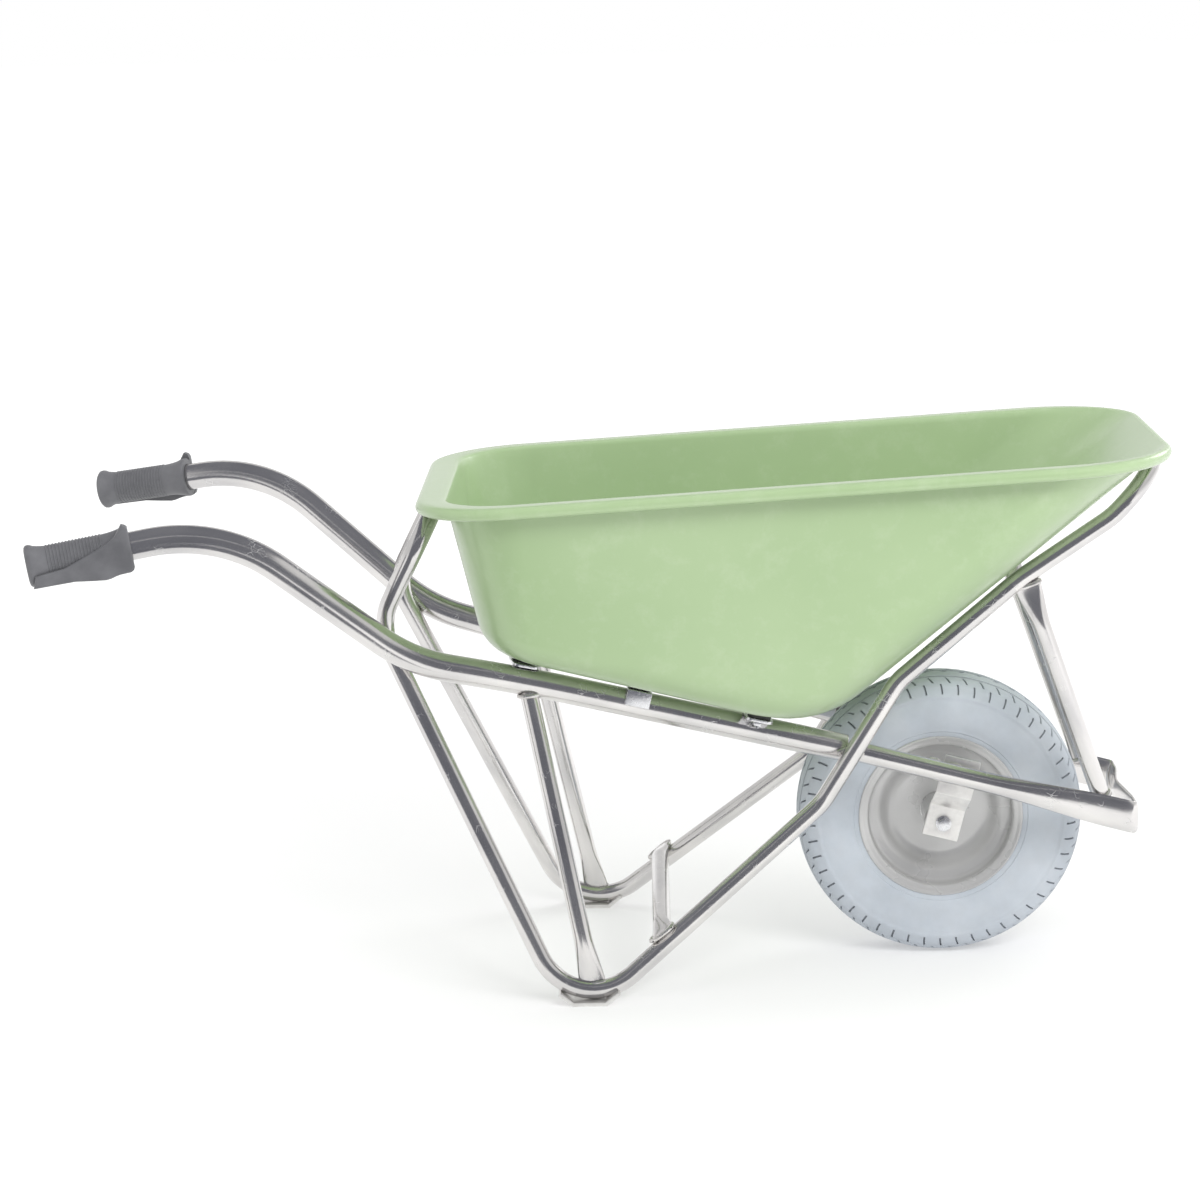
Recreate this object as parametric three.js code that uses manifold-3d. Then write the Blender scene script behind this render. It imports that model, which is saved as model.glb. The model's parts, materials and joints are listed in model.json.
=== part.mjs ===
// Single-wheel barrow: welded tube frame, moulded tray, puncture-proof wheel.
// Units mm. Built with x = 0 at the wheel axle, +X forward, +Y to the left, z = 0 on the ground.
import * as THREE from "three";
import { mergeVertices } from "three/addons/utils/BufferGeometryUtils.js";
import Module from "manifold-3d";

const wasm = await Module();
wasm.setup();

// ---------------------------------------------------------------- driving sizes
const fit = 0.3; // gap left between pieces that touch

// wheel
const tyreR = 200;
const tyreHalfWidth = 50;
const beadR = 103.6;
const rimFlangeR = 115;
const rimFlangeHalf = 42;
const rimSheet = 2.5;
const hubR = 25;
const hubHalf = 58;
const bearingR = 21;
const bearingWidth = 12;
const axleR = 10;
const axleBoltR = 5;
const lugCount = 22;
const lugGroove = 5;

// handle rails and the nose tube in front of them
const railR = 19;
const noseR = 14;
const gripW = 313; // half spacing of the grips
const gripZ = 632; // height of the rear ends of the handles
const handleEndX = -1205;
const topBend = { x: -963, w: 268, z: 669 };
const lowBend = { x: -724, w: 190, z: 468 };
const midBend = { x: -560, w: 150, z: 427 };
const noseW = 120;
const railProud = 2; // how far the rail's outer side stands outside the nose tube's
const railEnd = { x: -137, w: noseW + noseR + railProud - railR, z: 319 };
const noseX = 262;
const noseSlope = -0.267;
const noseBow = 11; // how far the middle of the nose is pressed in
const noseFlat = 5; // half thickness of the flattened nose
const noseTaper = 190; // length over which the round tube flattens

// leg tube, hoops, braces and struts
const tubeR = 12.5;
const tubeWall = 1.5;
const hoopX = -691;
const hoopW = 187;
const kneeX = -768;
const kneeZ = 512;
const footX = -515;
const footW = 248;
const footBendR = 80;
const elbow = { x: -172, w: 139, z: 249 };
const shoulder = { x: -67, z: 418 };
const slopeTop = { x: 98, w: 150, z: 557 };
const hoopSag = { x: 222, w: 149, z: 639 };
const frontHoop = { x: 283, w: 148, z: 703 };
const skidLength = 84;
const skidWidth = 38;
const skidSheet = 5;
const crossTubeX = -384;
const braceTopX = -571;
const strutTopX = 104;
const strutFootX = 215;
const strutFootInset = 16; // how far inside the nose tube's line its foot lands

// tray
const traySheet = 5;
const floorGap = 11.6; // rail top to tray floor, square to the rails
const rimRear = -713;
const rimFront = 301;
const rimHalf = 293;
const rimHeight = 721; // at the axle
const rimSlope = 0.051;
const flange = 31;
const rimLip = 17;
const rimLipSheet = 4;
const floorRear = -626;
const floorFront = -168;
const floorHalf = 212;
const frontWallSlope = 0.82;
const rearWallSlope = -4.5;

// tray fastenings
const tabSheet = 4;
const boltR = 4;
const nutR = 7.5;
const fixings = [
  { name: "rear", x: -576, reach: -28 },
  { name: "middle", x: -424, reach: 0 },
  { name: "front", x: -264, reach: 28 },
];

// axle hangers
const hangerWidth = 50;
const hangerSheet = 5;
const hangerFootW = 78; // inner face at the axle

// grips
const gripLength = 137;
const gripR = 23;
const gripFlangeR = 28;
const gripEndWall = 6;

// ---------------------------------------------------------------- small helpers
const vec = (x, y, z) => new THREE.Vector3(x, y, z);

// Points along a bent bar: straight runs with an arc of the given radius at each corner.
function bent(corners, radii, arcStep = 0.3) {
  const out = [corners[0].clone()];
  for (let i = 1; i < corners.length - 1; i += 1) {
    const back = corners[i - 1].clone().sub(corners[i]).normalize();
    const ahead = corners[i + 1].clone().sub(corners[i]).normalize();
    const half = back.angleTo(ahead) / 2;
    const radius = radii[i - 1];
    const centre = back.clone().add(ahead).normalize();
    centre.multiplyScalar(radius / Math.sin(half)).add(corners[i]);
    const start = back.multiplyScalar(radius / Math.tan(half)).add(corners[i]).sub(centre);
    const end = ahead.multiplyScalar(radius / Math.tan(half)).add(corners[i]).sub(centre);
    const sweep = Math.PI - 2 * half;
    const steps = Math.max(2, Math.ceil(sweep / arcStep));
    const axis = start.clone().cross(end).normalize();
    for (let k = 0; k <= steps; k += 1) {
      out.push(start.clone().applyAxisAngle(axis, (sweep * k) / steps).add(centre));
    }
  }
  out.push(corners[corners.length - 1].clone());
  return out;
}

// A curve that steps from one station to the next, so a sweep has a ring at each station only.
class StationCurve extends THREE.Curve {
  constructor(stations) {
    super();
    this.stations = stations;
  }
  getPoint(t) {
    const last = this.stations.length - 1;
    const at = Math.min(last, Math.max(0, t * last));
    const i = Math.min(last - 1, Math.floor(at));
    return this.stations[i].clone().lerp(this.stations[i + 1], at - i);
  }
  getPointAt(u) {
    return this.getPoint(u);
  }
  getTangentAt(u) {
    const last = this.stations.length - 1;
    const i = Math.round(u * last);
    const into = this.stations[Math.max(1, i)].clone().sub(this.stations[Math.max(0, i - 1)]);
    const from = this.stations[Math.min(last, i + 1)].clone();
    from.sub(this.stations[Math.min(last - 1, i)]);
    return into.normalize().add(from.normalize()).normalize();
  }
}

// A round bar swept along stations.
function bar(stations, radius, sides = 10) {
  const round = new THREE.Shape().absarc(0, 0, radius, 0, Math.PI * 2);
  return new THREE.ExtrudeGeometry(round, {
    extrudePath: new StationCurve(stations),
    steps: stations.length - 1,
    curveSegments: sides,
    bevelEnabled: false,
  });
}

// A closed skin through rings of equal point count, with flat ends.
function skin(rings) {
  const n = rings[0].length;
  const positions = rings.flat().flatMap((p) => [p.x, p.y, p.z]);
  const index = [];
  for (let i = 0; i + 1 < rings.length; i += 1) {
    for (let j = 0; j < n; j += 1) {
      const a = i * n + j;
      const b = i * n + ((j + 1) % n);
      index.push(a, b, b + n, a, b + n, a + n);
    }
  }
  const top = (rings.length - 1) * n;
  for (let j = 1; j + 1 < n; j += 1) {
    index.push(0, j + 1, j, top, top + j, top + j + 1);
  }
  const geometry = new THREE.BufferGeometry();
  geometry.setAttribute("position", new THREE.Float32BufferAttribute(positions, 3));
  geometry.setIndex(index);
  return geometry;
}

// Rings of an oval section along stations: `size(i)` gives the half sizes across and up.
function ovalRings(stations, size, sides = 12) {
  const curve = new StationCurve(stations);
  return stations.map((centre, i) => {
    const along = curve.getTangentAt(i / (stations.length - 1));
    const across = along.clone().cross(vec(0, 0, 1)).normalize();
    const up = across.clone().cross(along);
    const { wide, high } = size(i);
    return Array.from({ length: sides }, (_, k) => {
      const a = (-Math.PI * 2 * k) / sides;
      const point = centre.clone().addScaledVector(across, wide * Math.cos(a));
      return point.addScaledVector(up, high * Math.sin(a));
    });
  });
}

function solid(geometry) {
  const bare = geometry.clone();
  bare.deleteAttribute("normal");
  bare.deleteAttribute("uv");
  const merged = mergeVertices(bare, 1e-3);
  return new wasm.Manifold(
    new wasm.Mesh({
      numProp: 3,
      vertProperties: merged.attributes.position.array,
      triVerts: new Uint32Array(merged.index.array),
    }),
  );
}

function geometryOf(body) {
  const mesh = body.getMesh();
  const positions = [];
  for (let i = 0; i < mesh.numVert; i += 1) {
    positions.push(...mesh.vertProperties.slice(i * mesh.numProp, i * mesh.numProp + 3));
  }
  const geometry = new THREE.BufferGeometry();
  geometry.setAttribute("position", new THREE.Float32BufferAttribute(positions, 3));
  geometry.setIndex([...mesh.triVerts]);
  return geometry;
}

const cut = (geometry, ...tools) =>
  geometryOf(tools.reduce((left, tool) => left.subtract(solid(tool)), solid(geometry)));

const join = (...shapes) => geometryOf(shapes.map(solid).reduce((all, one) => all.add(one)));

// Places a geometry made about the Y axis so that Y lies along `along`, with X near `side`.
function aim(geometry, origin, along, side = vec(1, 0, 0)) {
  const y = along.clone().normalize();
  const z = side.clone().cross(y).normalize();
  const x = y.clone().cross(z);
  const place = new THREE.Matrix4().makeBasis(x, y, z).setPosition(origin);
  return geometry.applyMatrix4(place);
}

const turned = (profile, sides) =>
  new THREE.LatheGeometry(
    profile.map(([r, y]) => new THREE.Vector2(r, y)),
    sides,
  );

// A ring of rectangular section about Y, from y0 to y1.
const collar = (inner, outer, y0, y1, sides) =>
  turned([[inner, y0], [outer, y0], [outer, y1], [inner, y1], [inner, y0]], sides);

// A plain rod about Y.
const rod = (radius, y0, y1, sides = 16) =>
  turned([[0, y0], [radius, y0], [radius, y1], [0, y1]], sides);

function node(parent, name, geometry, color, metalness = 0, roughness = 0.6) {
  const material = new THREE.MeshStandardMaterial({ color, metalness, roughness });
  const mesh = new THREE.Mesh(geometry, material);
  mesh.name = name;
  parent.add(mesh);
}

const steel = 0xc9c9cc;
const zinc = 0xd9dadb;
const leaf = 0xb2cf9b;
const greyRubber = 0xb9c3cc;
const darkRubber = 0x3c3d40;
const gripGrey = 0x6a6a70;
const rimGrey = 0xa19f9d;

const sides = [
  { tag: "right", s: -1 },
  { tag: "left", s: 1 },
];

// Point on a bar's centre line at a given x, for the right-hand bar mirrored to either side.
function atX(stations, x) {
  const i = stations.findIndex((p, k) => k > 0 && (stations[k - 1].x - x) * (p.x - x) <= 0);
  const a = stations[i - 1];
  const b = stations[i];
  return a.clone().lerp(b, (x - a.x) / (b.x - a.x));
}

// ---------------------------------------------------------------- frame lines
const corner = (s, p) => vec(p.x, s * p.w, p.z);

function railLine(s) {
  const end = vec(handleEndX, s * gripW, gripZ);
  const corners = [end, topBend, lowBend, midBend, railEnd].map((p) =>
    p.isVector3 ? p : corner(s, p),
  );
  return bent(corners, [215, 240, 900]);
}

const noseStart = railEnd.x + 4;
const noseZ = (x) => railEnd.z + noseSlope * (x - railEnd.x);
const railSlope = (railEnd.z - midBend.z) / (railEnd.x - midBend.x);
const railHeight = (x) => railEnd.z + railSlope * (x - railEnd.x);

// How far apart in y two crossing bars must be for the given distance between their lines.
function spread(a, b, reach) {
  const square = a.clone().cross(b).normalize();
  return reach / Math.abs(square.y);
}

const kneeDrop = vec(footX - kneeX, 0, -kneeZ);
const railCross = atX(railLine(1), kneeX + 20);
const railDip = corner(1, lowBend).sub(corner(1, topBend));
const kneeW = railCross.y - spread(railDip, kneeDrop, railR + tubeR + fit) - 4;

const crossing = vec(1, 0, noseSlope);
const climb = vec(shoulder.x - elbow.x, 0, shoulder.z - elbow.z);
const shoulderW = noseW + spread(crossing, climb, noseR + tubeR + fit) + 0.5;

function legCorners(s, footZ) {
  return [
    vec(kneeX + 0.35 * (hoopX - kneeX), s * (kneeW + 0.35 * (hoopW - kneeW)), kneeZ + 56),
    vec(kneeX, s * kneeW, kneeZ),
    vec(footX, s * footW, footZ),
    vec(elbow.x, s * Math.max(elbow.w, shoulderW), elbow.z),
    vec(shoulder.x, s * shoulderW, shoulder.z),
    corner(s, slopeTop),
  ];
}
const legBends = [75, footBendR, 70, 75];

// Height of the foot corner that rests the lowest point of the bend on the skid.
function footHeight() {
  let z = -26;
  for (let i = 0; i < 4; i += 1) {
    const low = Math.min(...bent(legCorners(1, z), legBends, 0.1).map((p) => p.z));
    z += skidSheet + fit + tubeR - low;
  }
  return z;
}
const footZ = footHeight();

function legLine(s) {
  const corners = legCorners(s, footZ);
  const end = corners[5].clone().lerp(corners[4], 0.06);
  return bent([...corners.slice(0, 5), end], legBends);
}

// ---------------------------------------------------------------- frame pieces
function rearHoop() {
  const legEnd = (s) => legCorners(s, footZ)[0];
  const inset = (s) => {
    const from = legEnd(s);
    const top = vec(hoopX, s * hoopW, hoopTopZ);
    return [from.lerp(top, (2 * fit) / from.distanceTo(top)), top];
  };
  const [a, aTop] = inset(-1);
  const [b, bTop] = inset(1);
  return bent([a, aTop, bTop, b], [58, 58]);
}

function frontHoopLine() {
  const ends = sides.map(({ s }) => {
    const line = legLine(s);
    const tip = line[line.length - 1];
    const top = corner(s, slopeTop);
    const lead = top.clone().sub(tip).normalize();
    return [tip.addScaledVector(lead, fit), top, corner(s, hoopSag), corner(s, frontHoop)];
  });
  const [near, far] = ends;
  return bent([...near, ...far.reverse()], [160, 110, 70, 70, 110, 160]);
}

const rimTop = (x) => rimHeight + rimSlope * x;
const hoopTopZ = rimTop(hoopX) - traySheet - 2 - fit - tubeR - 0.5;

function noseLine() {
  const start = (s) => vec(noseStart, s * noseW, noseZ(noseStart));
  const flatFrom = (s) => vec(noseX - 90, s * noseW, noseZ(noseX - 90));
  const turn = (s) => vec(noseX, s * noseW, noseZ(noseX));
  const middle = vec(noseX - noseBow, 0, noseZ(noseX - noseBow));
  const mid = (s) => turn(s).lerp(turn(-s), 0.16);
  const right = [start(-1), flatFrom(-1), flatFrom(-1).lerp(turn(-1), 0.5), turn(-1), mid(-1)];
  const left = [mid(1), turn(1), flatFrom(1).lerp(turn(1), 0.5), flatFrom(1), start(1)];
  const corners = [...right, middle, ...left];
  return bent(corners, [30, 30, 9, 60, 120, 60, 9, 30, 30], 0.3);
}

function noseSize(stations) {
  const flatHigh = (Math.PI * noseR) / 2;
  return (i) => {
    const back = noseX - noseBow - 12 - stations[i].x;
    const t = THREE.MathUtils.smoothstep(back, 0, noseTaper);
    return {
      wide: THREE.MathUtils.lerp(noseFlat, noseR, t),
      high: THREE.MathUtils.lerp(flatHigh, noseR, t),
    };
  };
}

function noseTube(grow = 0) {
  const line = noseLine();
  const size = noseSize(line);
  const rings = ovalRings(line, (i) => {
    const { wide, high } = size(i);
    return { wide: wide + grow, high: high + grow };
  });
  return skin(rings);
}

// A straight tube from a to b whose ends are squeezed flat over `length`, wide towards `flatSide`.
function spoonTube(a, b, flatSide, ends) {
  const along = b.clone().sub(a);
  const total = along.length();
  const wideEnd = (Math.PI * tubeR) / 2 - 1.5;
  const thinEnd = tubeWall + 1.2;
  const marks = [0, 0.35, 0.7, 1];
  const stations = [];
  for (const m of marks) stations.push({ y: m * ends.start, f: ends.start ? 1 - m : 0 });
  for (const m of marks) stations.push({ y: total - (1 - m) * ends.stop, f: ends.stop ? m : 0 });
  const kept = stations.filter((p, i) => i === 0 || p.y - stations[i - 1].y > 0.5);
  const rings = kept.map(({ y, f }) => {
    const t = THREE.MathUtils.smoothstep(f, 0, 1);
    const wide = THREE.MathUtils.lerp(tubeR, wideEnd, t);
    const thin = THREE.MathUtils.lerp(tubeR, thinEnd, t);
    return Array.from({ length: 12 }, (_, k) => {
      const angle = (-Math.PI * 2 * k) / 12;
      return vec(wide * Math.cos(angle), y, thin * Math.sin(angle));
    });
  });
  return aim(skin(rings), a, along, flatSide);
}

function brace(s) {
  const rail = railLine(s);
  const leg = legLine(s);
  const top = atX(rail, braceTopX);
  const low = leg.reduce((best, p) => (p.z < best.z ? p : best));
  const along = leg[leg.indexOf(low) + 1].clone().sub(leg[leg.indexOf(low) - 1]);
  const foot = low.clone().add(vec(6, 0, 0));
  const raw = spoonTube(top, foot, along, { start: 0, stop: 80 });
  return cut(raw, bar(rail, railR + fit, 14), bar(leg, tubeR + fit));
}

function strut(s) {
  const hoop = frontHoopLine();
  const half = s < 0 ? hoop.slice(0, hoop.length / 2) : hoop.slice(hoop.length / 2);
  const top = atX(half, strutTopX);
  const foot = vec(strutFootX, s * (noseW - strutFootInset), noseZ(strutFootX) + 16);
  const raw = spoonTube(top, foot, vec(1, 0, 0.3), { start: 70, stop: 0 });
  return cut(raw, bar(half, tubeR + fit), bar(legLine(s), tubeR + fit), noseTube(fit));
}

// Tie tube lying on both climbing tubes, its ends pressed flat along them.
function crossTube() {
  const rest = (s) => atX(legLine(s).slice(-18), crossTubeX);
  const lift = vec(-0.61, 0, 0.79).multiplyScalar(tubeR + fit + 3.4);
  const a = rest(-1).add(lift).add(vec(0, -14, 0));
  const b = rest(1).add(lift).add(vec(0, 14, 0));
  const raw = spoonTube(a, b, vec(0.79, 0, 0.61), { start: 62, stop: 62 });
  return cut(raw, ...sides.map(({ s }) => bar(legLine(s), tubeR + fit)));
}

function skid(s) {
  const low = legLine(s).reduce((best, p) => (p.z < best.z ? p : best));
  const h = skidLength / 2;
  const outline = new THREE.Shape();
  outline.moveTo(-h * 0.55, 0);
  outline.lineTo(h * 0.55, 0);
  outline.lineTo(h, 15);
  outline.lineTo(h - 3, 15 + skidSheet * 0.8);
  outline.lineTo(h * 0.55 - 2, skidSheet);
  outline.lineTo(-h * 0.55 + 2, skidSheet);
  outline.lineTo(-h + 3, 15 + skidSheet * 0.8);
  outline.lineTo(-h, 15);
  outline.closePath();
  const plate = new THREE.ExtrudeGeometry(outline, { depth: skidWidth, bevelEnabled: false });
  plate.translate(0, 0, -skidWidth / 2).rotateX(Math.PI / 2);
  plate.translate(low.x, low.y, 0);
  return cut(plate, bar(legLine(s), tubeR + fit));
}

// Cranked plate welded inside the nose tube; its foot carries the end of the axle.
function hanger(s) {
  const topW = noseW - noseR - fit - hangerSheet;
  const slope = Math.atan(noseSlope);
  const railUp = (noseZ(0) - tyreR) * Math.cos(slope);
  const inner = [
    [hangerFootW, -21],
    [hangerFootW, 24],
    [topW, 46],
    [topW, railUp + noseR + 7],
  ];
  const outer = inner.map(([w, h]) => [w + hangerSheet, h]).reverse();
  const points = [...inner, ...outer].map(([w, h]) => new THREE.Vector2(s * w, h));
  const plate = new THREE.ExtrudeGeometry(new THREE.Shape(points), {
    depth: hangerWidth,
    bevelEnabled: false,
  });
  plate.translate(0, 0, -hangerWidth / 2);
  const up = vec(-noseSlope, 0, 1).normalize();
  const out = vec(0, 1, 0);
  plate.applyMatrix4(new THREE.Matrix4().makeBasis(out, up, out.clone().cross(up)));
  const hole = rod(axleBoltR + fit, -20, 20).translate(0, s * hangerFootW, 0);
  return cut(plate, hole).translate(0, 0, tyreR);
}

// ---------------------------------------------------------------- tray
const railLean = Math.atan(railSlope);
const floorZ = (x) => railHeight(x) + (railR + floorGap) / Math.cos(railLean);

// x where a straight end wall crosses the level that is the share `s` of the way up the tray.
function wallX(s, footX0, slope) {
  const rise = rimTop(0) - floorZ(0);
  const lean = rimSlope - railSlope;
  const start = floorZ(footX0);
  return (floorZ(0) + s * rise - start + slope * footX0) / (slope - railSlope - s * lean);
}

// One closed outline of the tray at share `s` of its height, shrunk by the given insets.
function trayRing(s, shape, lift) {
  const { rear, front, half, rearR, frontLong, frontAcross } = shape;
  const level = (x) => floorZ(x) + s * (rimTop(x) - floorZ(x)) + lift(x);
  const quarter = (cx, cy, a, b, from, steps) =>
    Array.from({ length: steps + 1 }, (_, k) => {
      const angle = from + (Math.PI / 2) * (k / steps);
      const x = cx + a * Math.cos(angle);
      return vec(x, cy + b * Math.sin(angle), level(x));
    });
  const nose = [front - frontLong, half - frontAcross];
  const tail = [rear + rearR, half - rearR];
  return [
    ...quarter(nose[0], nose[1], frontLong, frontAcross, 0, 8),
    ...quarter(tail[0], tail[1], rearR, rearR, Math.PI / 2, 5),
    ...quarter(tail[0], -tail[1], rearR, rearR, Math.PI, 5),
    ...quarter(nose[0], -nose[1], frontLong, frontAcross, Math.PI * 1.5, 8),
  ];
}

// Outline of the body wall at share `s`, moved in by the rounded floor edge and the sheet.
function wallShape(s, edge, sheet) {
  const inset = edge + sheet;
  return {
    rear: wallX(s, floorRear, rearWallSlope) + edge * 0.7 + sheet,
    front: wallX(s, floorFront, frontWallSlope) - edge * 1.15 - sheet * 1.5,
    half: THREE.MathUtils.lerp(floorHalf, rimHalf - flange, s) - inset,
    rearR: THREE.MathUtils.lerp(75, 99, s) - inset * 0.5,
    frontLong: THREE.MathUtils.lerp(85, 124, s) - inset,
    frontAcross: THREE.MathUtils.lerp(95, 129, s) - inset,
  };
}

function rimShape(inset) {
  return {
    rear: rimRear + inset,
    front: rimFront - inset,
    half: rimHalf - inset,
    rearR: 130 - inset,
    frontLong: 155 - inset,
    frontAcross: 160 - inset,
  };
}

function tray() {
  const edge = [0, 0.045, 0.16];
  const edgeInset = [40, 13, 0];
  const none = () => 0;
  const down = (d) => () => -d;
  const upFloor = (s) => () => (1 - s) * (traySheet / Math.cos(railLean));
  const wallIn = traySheet * 1.03;
  const outer = edge.map((s, i) => trayRing(s, wallShape(s, edgeInset[i], 0), none));
  const insideRings = edge.map((s, i) => trayRing(s, wallShape(s, edgeInset[i], wallIn), upFloor(s)));
  const rings = [
    ...outer,
    trayRing(1, wallShape(1, 0, 0), down(traySheet)),
    trayRing(1, rimShape(rimLipSheet), down(traySheet + 2)),
    trayRing(1, rimShape(rimLipSheet), down(rimLip)),
    trayRing(1, rimShape(0), down(rimLip)),
    trayRing(1, rimShape(0), down(6)),
    trayRing(1, rimShape(2), down(2)),
    trayRing(1, rimShape(7), none),
    trayRing(1, wallShape(1, -5, wallIn), none),
    trayRing(1, wallShape(1, 0, wallIn), down(5)),
    ...insideRings.reverse(),
  ];
  const holes = boltAxes().map(({ base, up }) => aim(rod(boltR + 0.5, 0, 60), base, up));
  return cut(skin(rings), ...holes);
}

// ---------------------------------------------------------------- tray fastenings
const floorUp = vec(-railSlope, 0, 1).normalize();
const tabLow = railR + fit;
const padLow = tabLow + tabSheet + fit;
const padHigh = railR + floorGap - fit;

function seat(fixing, s) {
  const line = railLine(s);
  const at = atX(line, fixing.x);
  const ahead = atX(line, fixing.x + 5).sub(at).setZ(0);
  const along = vec(ahead.x, ahead.y, railSlope * ahead.x).normalize();
  at.z = railHeight(at.x);
  return { at, along, s };
}

function boltAxes() {
  return fixings
    .filter(({ reach }) => reach)
    .flatMap((fixing) =>
      sides.map(({ s, tag }) => {
        const { at, along } = seat(fixing, s);
        const left = floorUp.clone().cross(along);
        const base = at.addScaledVector(left, s * fixing.reach);
        return { base, up: floorUp, tag, name: fixing.name };
      }),
    );
}

// Rounded rectangle from y0 to y1 with an optional round hole at y = hole.
function roundedBox(halfX, ya, yb, r, hole, holeR) {
  const y0 = Math.min(ya, yb) + r;
  const y1 = Math.max(ya, yb) - r;
  const x = halfX - r;
  const shape = new THREE.Shape();
  shape.absarc(x, y0, r, -Math.PI / 2, 0);
  shape.absarc(x, y1, r, 0, Math.PI / 2);
  shape.absarc(-x, y1, r, Math.PI / 2, Math.PI);
  shape.absarc(-x, y0, r, Math.PI, Math.PI * 1.5);
  if (holeR) shape.holes.push(new THREE.Path().absarc(0, hole, holeR, 0, Math.PI * 2, true));
  return shape;
}

// Stands a flat plate, drawn in x (along the rail) and y (to the left), over the rail.
function plateAt(shape, low, high, place, curve) {
  const plate = new THREE.ExtrudeGeometry(shape, {
    depth: high - low,
    bevelEnabled: false,
    curveSegments: curve,
  });
  plate.translate(0, 0, low);
  const left = floorUp.clone().cross(place.along);
  const basis = new THREE.Matrix4().makeBasis(place.along, left, floorUp);
  return plate.applyMatrix4(basis.setPosition(place.at));
}

function tab(fixing, s) {
  const far = Math.sign(fixing.reach);
  const inner = s * far * -6;
  const outer = s * (fixing.reach + far * 15);
  const hole = s * fixing.reach;
  const shape = roundedBox(19, inner, outer, 9, hole, boltR + 0.5);
  return plateAt(shape, tabLow, tabLow + tabSheet, seat(fixing, s), 4);
}

// Angle piece that hooks over the outside of the rail.
function saddle(fixing, s) {
  const lip = railR + fit;
  const across = [
    [-13, lip],
    [-13, lip + tabSheet],
    [lip + tabSheet, lip + tabSheet],
    [lip + tabSheet, 1],
    [lip, 1],
    [lip, lip],
  ];
  const shape = new THREE.Shape(across.map(([y, up]) => new THREE.Vector2(s * y, up)));
  const block = new THREE.ExtrudeGeometry(shape, { depth: 34, bevelEnabled: false });
  block.translate(0, 0, -17);
  const { at, along } = seat(fixing, s);
  const left = floorUp.clone().cross(along);
  return block.applyMatrix4(new THREE.Matrix4().makeBasis(left, floorUp, along).setPosition(at));
}

function pad(fixing, s) {
  const middle = s * fixing.reach;
  const holeR = fixing.reach ? boltR + 0.5 : 0;
  const shape = roundedBox(15, middle - 12, middle + 12, 6, middle, holeR);
  return plateAt(shape, padLow, padHigh, seat(fixing, s), 4);
}

const nutHigh = tabLow - fit;
const nutLow = nutHigh - 6.5;

function trayBolt({ base, up }) {
  const seatHeight = railR + floorGap + traySheet + fit;
  const dome = [
    [0, nutLow - 4],
    [boltR, nutLow - 4],
    [boltR, seatHeight],
    [10, seatHeight],
    [9.5, seatHeight + 2],
    [6, seatHeight + 4.2],
    [0, seatHeight + 5],
  ];
  return aim(turned(dome, 16), base, up);
}

function nut({ base, up }) {
  const hex = new THREE.Shape(
    Array.from({ length: 6 }, (_, k) => {
      const a = (Math.PI * k) / 3;
      return new THREE.Vector2(Math.cos(a), Math.sin(a)).multiplyScalar(nutR / Math.cos(Math.PI / 6));
    }),
  );
  hex.holes.push(new THREE.Path().absarc(0, 0, boltR + fit, 0, Math.PI * 2, true));
  const block = new THREE.ExtrudeGeometry(hex, {
    depth: nutHigh - nutLow,
    bevelEnabled: false,
    curveSegments: 12,
  });
  block.rotateX(-Math.PI / 2).translate(0, nutLow, 0);
  return aim(block, base, up);
}

// ---------------------------------------------------------------- grips
const guardOutline = [
  [4, -27],
  [9, -11],
  [48, -8],
  [92, 7],
  [118, 19],
  [130, 34],
  [137, 28],
  [137, -30],
  [102, -34],
  [58, -28],
];

function grip(s) {
  const L = gripLength;
  const bore = railR + fit;
  const sleeve = turned(
    [
      [0, 0],
      [gripFlangeR - 4, 0],
      [gripFlangeR, 4],
      [gripFlangeR, 8],
      [gripR + 1, 18],
      [gripR, 28],
      [gripR, L - 22],
      [gripR + 2, L - 13],
      [gripFlangeR, L - 7],
      [gripFlangeR, L],
      [0, L],
    ],
    20,
  );
  const outline = new THREE.Shape(guardOutline.map(([a, h]) => new THREE.Vector2(h, a)));
  const guard = new THREE.ExtrudeGeometry(outline, { depth: 16, bevelEnabled: false });
  guard.translate(0, 0, s > 0 ? 14 : -30);
  const line = railLine(s);
  const along = line[1].clone().sub(line[0]).normalize();
  const origin = line[0].clone().addScaledVector(along, -(gripEndWall + fit));
  const whole = cut(join(sleeve, guard), rod(bore, gripEndWall, L + 10, 20));
  return aim(whole, origin, along, vec(0, 0, 1));
}

// ---------------------------------------------------------------- wheel
// Half profile of the tyre from the bead seat out to the middle of the tread.
const tyreSide = [
  [beadR, tyreHalfWidth - 12],
  [rimFlangeR - 1, tyreHalfWidth - 12],
  [rimFlangeR + 2, rimFlangeHalf + 0.5],
  [tyreR - 72, tyreHalfWidth - 3],
  [tyreR - 50, tyreHalfWidth],
  [tyreR - 27, tyreHalfWidth - 2],
  [tyreR - 12, tyreHalfWidth - 9],
  [tyreR - 4, tyreHalfWidth - 19],
  [tyreR, lugGroove / 2 + 1],
  [tyreR - 6, lugGroove / 2],
];

function tyre() {
  const right = tyreSide.map(([r, y]) => [r, -y]);
  const left = [...tyreSide].reverse();
  const body = turned([...right, ...left, right[0]], 44);
  const grooves = Array.from({ length: lugCount }, (_, k) => {
    const turn = (Math.PI * 2 * k) / lugCount;
    return [-1, 1].map((side) => {
      const slot = new THREE.BoxGeometry(lugGroove, 40, 14);
      slot.rotateZ(side * 0.35).translate(0, side * (tyreHalfWidth - 14), tyreR - 1);
      return slot.rotateY(turn + (side * Math.PI) / lugCount / 2);
    });
  });
  return cut(body, ...grooves.flat());
}

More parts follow.
